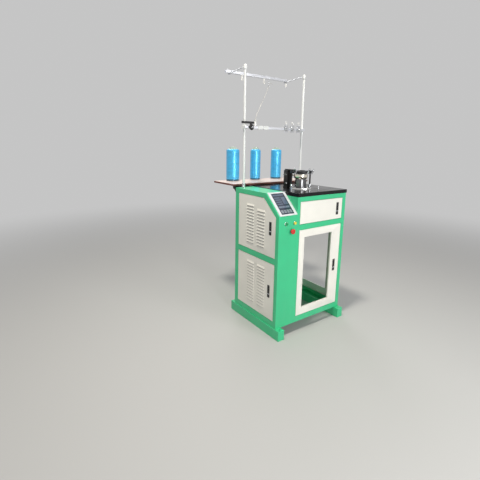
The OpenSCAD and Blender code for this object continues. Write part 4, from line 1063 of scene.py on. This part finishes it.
class MakeHead(Step):
    """Bearing flange, cylinder, needles, cams and feeders"""

    bl_idname = "knitter.head"
    bl_label = "Knitting head"

    def build(self, scene):
        x, y = HEAD
        rim, post_reach, post_foot, needle_foot = 84.9, 95, FLANGE_H + 25, 75
        # The flange's outer rim gets bright turned steel: a painted highlight along its edge
        finished("bearing_housing", "flange", 1.5, 3,
                 zones=[("turned", lambda p: p.z > TABLE_Z - 0.5 and math.hypot(p.x - x, p.y - y) > rim)])
        feet = within((x - post_reach, y - post_reach, TABLE_Z),
                      (x + post_reach, y + post_reach, TABLE_Z + post_foot))
        finished("feeder_ring", "black", 0.8, zones=[("chrome", feet)])
        finished("cam_ring", "cam", 0.8)
        column = x - 66
        finished("head_column", "black_paint", 1.5,
                 zones=[("chrome", within((column - 40, y, z - 8), (column, y + 150, z + 8)))
                        for z in (TABLE_Z + 34, TABLE_Z + 108)])
        finished("yarn_feeders", "chrome", 0.5)
        finished("needle_cylinder", "drum", 0.8)
        self.knurls()
        grow("latch_needles", Trees.made["ring"], bpy.data.meshes.new("base"), "bright", ["needles"],
             Item=item_object(self.needle()), Count=scene.knitter_head.needles,
             Centre=at(x, y, TABLE_Z + needle_foot), Lift=scene.knitter_head.needle_lift, Waves=2.0)

    def needle(self):
        """A latch needle: shank, butt, hook and open latch; X points away from the cylinder's axis."""
        bm = bmesh.new()
        inner, thick, tall = 42 - 3.6 + 0.2, 0.6, 41.0
        block(bm, (inner, -thick, 0), (inner + 2.6, thick, tall - 6), 0.2, segments=1)
        block(bm, (inner + 2, -thick, 16), (inner + 6.2, thick, 19), 0.4, segments=1)
        neck, r = inner + 0.9, 2.0
        arc = [(neck, 0, tall - 7), (neck, 0, tall - 1)]
        arc += [(neck + r - r * math.cos(a), 0, tall - 1 + r * math.sin(a))
                for a in (math.pi * k / 6 for k in range(1, 7))]
        arc += [(neck + 2 * r - 0.2, 0, tall - 2.2)]
        add_mesh(bm, wire_mesh([Vector(p) * MM for p in arc], 0.55, 4))
        latch = [(neck + 0.4, 0, tall - 5), (neck + 2.6, 0, tall - 7), (neck + 4.2, 0, tall - 8.6)]
        add_mesh(bm, wire_mesh([Vector(p) * MM for p in latch], 0.4, 4))
        return bm

    def knurls(self):
        """Straight knurls round the feeders' leaning barrels."""
        bm = bmesh.new()
        turned(bm, [(0, -10), (0.5, -10), (0.55, 0), (0.5, 10), (0, 10)], Matrix.Identity(4), 6, 0)
        places = []
        reach, lean, radius, middle, count = 99, math.radians(24), 6.5, 16, 22
        for angle, height in ((262, 136), (286, 128), (200, 136)):
            place = (upright(*HEAD, TABLE_Z) @ Matrix.Rotation(math.radians(angle), 4, "Z")
                     @ Matrix.Translation((reach * MM, 0, height * MM)) @ Matrix.Rotation(lean, 4, "Y"))
            axis = place.to_3x3() @ Vector((0, 0, 1))
            for k in range(count):
                a = 2 * math.pi * k / count
                spot = Vector((radius * math.cos(a), radius * math.sin(a), middle)) * MM
                places.append((place @ spot, axis))
        grow("barrel_knurls", Trees.made["places"], places_mesh(places), "chrome", like="yarn_feeders",
             Item=item_object(bm))


class MakeDrive(Step):
    """Pulleys, belt, motor and take-down"""

    bl_idname = "knitter.drive"
    bl_label = "Drive"

    def build(self, scene):
        for node, finish, width in (
                ("cylinder_pulley", "alloy", 0.5), ("takedown_yoke", "dark", 1.0),
                ("takedown_roller_a", "bright", 0.3), ("takedown_roller_b", "bright", 0.3),
                ("takedown_wheel", "belt", 0.5), ("motor", "motor", 1.0),
                ("motor_pulley", "alloy", 0.5), ("drive_belt", "belt", 0.3)):
            finished(node, finish, width)


class MakeUprights(Step):
    """Uprights, top guide bar, tension bar and their fittings"""

    bl_idname = "knitter.uprights"
    bl_label = "Uprights and bars"

    def build(self, scene):
        finished("uprights", "white", 0.5)
        finished("upright_sockets", "chrome", 1.0)
        clamps = [within((x - 20, POLE_Y + 280, 1960), (x + 64, POLE_Y + 330, 1977.5)) for x in POLES]
        rods = within((0, POLE_Y - 10, 1968), (BODY_W + 60, POLE_Y + 330, 1977.6))
        finished("guide_bar", "rolled", 0.6, zones=[("chrome", test) for test in clamps] + [("bright", rods)])
        thin = within((543, 800, 1900), (556, 880, 1990))
        finished("hanging_eyelets", "ceramic", 0.2, zones=[("chrome", thin)])
        ends = [within((x - 19, 500, BAR_Z - 15), (x + 19, 560, BAR_Z + 15)) for x in POLES]
        finished("tension_bar", "rolled", 0.8, zones=[("white", test) for test in ends])
        front = BAR_FRONT
        zones = [("chrome", within((DISC_X - 8.2, front - 40, BAR_Z - 9),
                                   (DISC_X + 8.2, front - 16.8, BAR_Z + 9))),
                 ("black_paint", within((15, front - 30, BAR_Z - 30), (135, front + 6, BAR_Z + 46))),
                 ("ceramic", within((140, front - 20, BAR_Z), (164, front + 20, BAR_Z + 70))),
                 ("white", within((177, front - 6, BAR_Z - 15), (285, front + 24, BAR_Z + 15)))]
        zones += [("ceramic", within((x - 11, front - 12, BAR_Z + 40), (x + 11, front + 2, BAR_Z + 64)))
                  for x in UNIT_X]
        finished("tension_units", "bright", 0.5, zones=zones)
        for i, x in enumerate((*UNIT_X, DISC_X), 1):
            back, up, length, r = (-18, 4, 6, 5.0) if x != DISC_X else (-13, 0, 4, 5.5)
            grow(f"disc_spring_{i}", Trees.made["coil"], bpy.data.meshes.new("base"), "chrome",
                 like="tension_units", Turns=4.0, Radius=r * MM, Height=length * MM, Wire=0.5 * MM,
                 Centre=at(x, front + back, BAR_Z + up),
                 Tilt=Vector((math.radians(90), 0, 0)))


class MakeCreel(Step):
    """Creel board, brackets, spindles and spools"""

    bl_idname = "knitter.creel"
    bl_label = "Creel"

    def build(self, scene):
        finished("creel_board", "board", 1.5)
        finished("creel_brackets", "black_paint", 1.2)
        finished("spindles", "bright", 0.5)
        for i in (1, 2, 3):
            self.spool(i)

    def spool(self, i):
        """Wound package: lower rim in a darker copy of the yarn as painted shade, winding with slight
        creases, and a pale domed end.
        """
        r, h, base = SPOOL_R[i - 1], SPOOL_H, BOARD_TOP + 4
        draw = Random(i)
        wall = [(r - 3, 0), (r - 1, 4), (r - 2, 12), (r - 0.4, 20)]
        for z in range(26, int(h) - 36, 6):
            crease = 0.9 if draw.random() < 0.16 else 0.0
            wall.append((r - 0.25 - draw.random() * 0.5 - crease, float(z)))
        dome = [(r, h - 34), (r - 3, h - 25), (r * 0.76, h - 19), (r * 0.52, h - 9), (r * 0.36, h),
                (CORE_R, h)]
        bm = bmesh.new()
        turned(bm, [(CORE_R, 0), *wall, *dome], upright(SPOOL_X[i - 1], SPOOL_Y, base), 96, 1.2)
        # The lower rim's darker yarn is painted shade
        zoned(bm, [("core", lambda p: p.z > base + h - 19.6), (f"rim_{i}", lambda p: p.z < base + 12.6)])
        keep_as(f"wound_spool_{i}", bm, [f"yarn_{i}", "core", f"rim_{i}"], [f"spool_{i}"], smooth=50.0)


class KnitterPanel(bpy.types.Panel):
    """Lists the steps and the settings"""

    bl_idname = "VIEW3D_PT_knitter"
    bl_label = "Knitting machine"
    bl_space_type = "VIEW_3D"
    bl_region_type = "UI"
    bl_category = "Knitting machine"

    def draw(self, context):
        for label in SETTINGS:
            box = self.layout.box()
            group = getattr(context.scene, label)
            for setting in group.__annotations__:
                box.prop(group, setting)
        for step in STEPS:
            self.layout.operator(step.bl_idname)


SETTINGS = {"knitter_look": LookSettings, "knitter_cabinet": CabinetSettings, "knitter_head": HeadSettings,
            "knitter_stage": StageSettings}
STEPS = (MakeStage, MakeFinishes, MakeYarn, MakeCabinet, MakeScrews, MakeDoors, MakeLocks,
         MakeOperatorPanel, MakeHead, MakeDrive, MakeUprights, MakeCreel)
CLASSES = (*SETTINGS.values(), *STEPS, KnitterPanel)


def register():
    for cls in CLASSES:
        bpy.utils.register_class(cls)
    for label, cls in SETTINGS.items():
        setattr(bpy.types.Scene, label, PointerProperty(type=cls))


def unregister():
    for label in SETTINGS:
        delattr(bpy.types.Scene, label)
    for cls in reversed(CLASSES):
        bpy.utils.unregister_class(cls)


def main():
    register()
    for step in STEPS:
        getattr(bpy.ops.knitter, step.bl_idname.split(".")[1])()


if __name__ == "__main__":
    main()
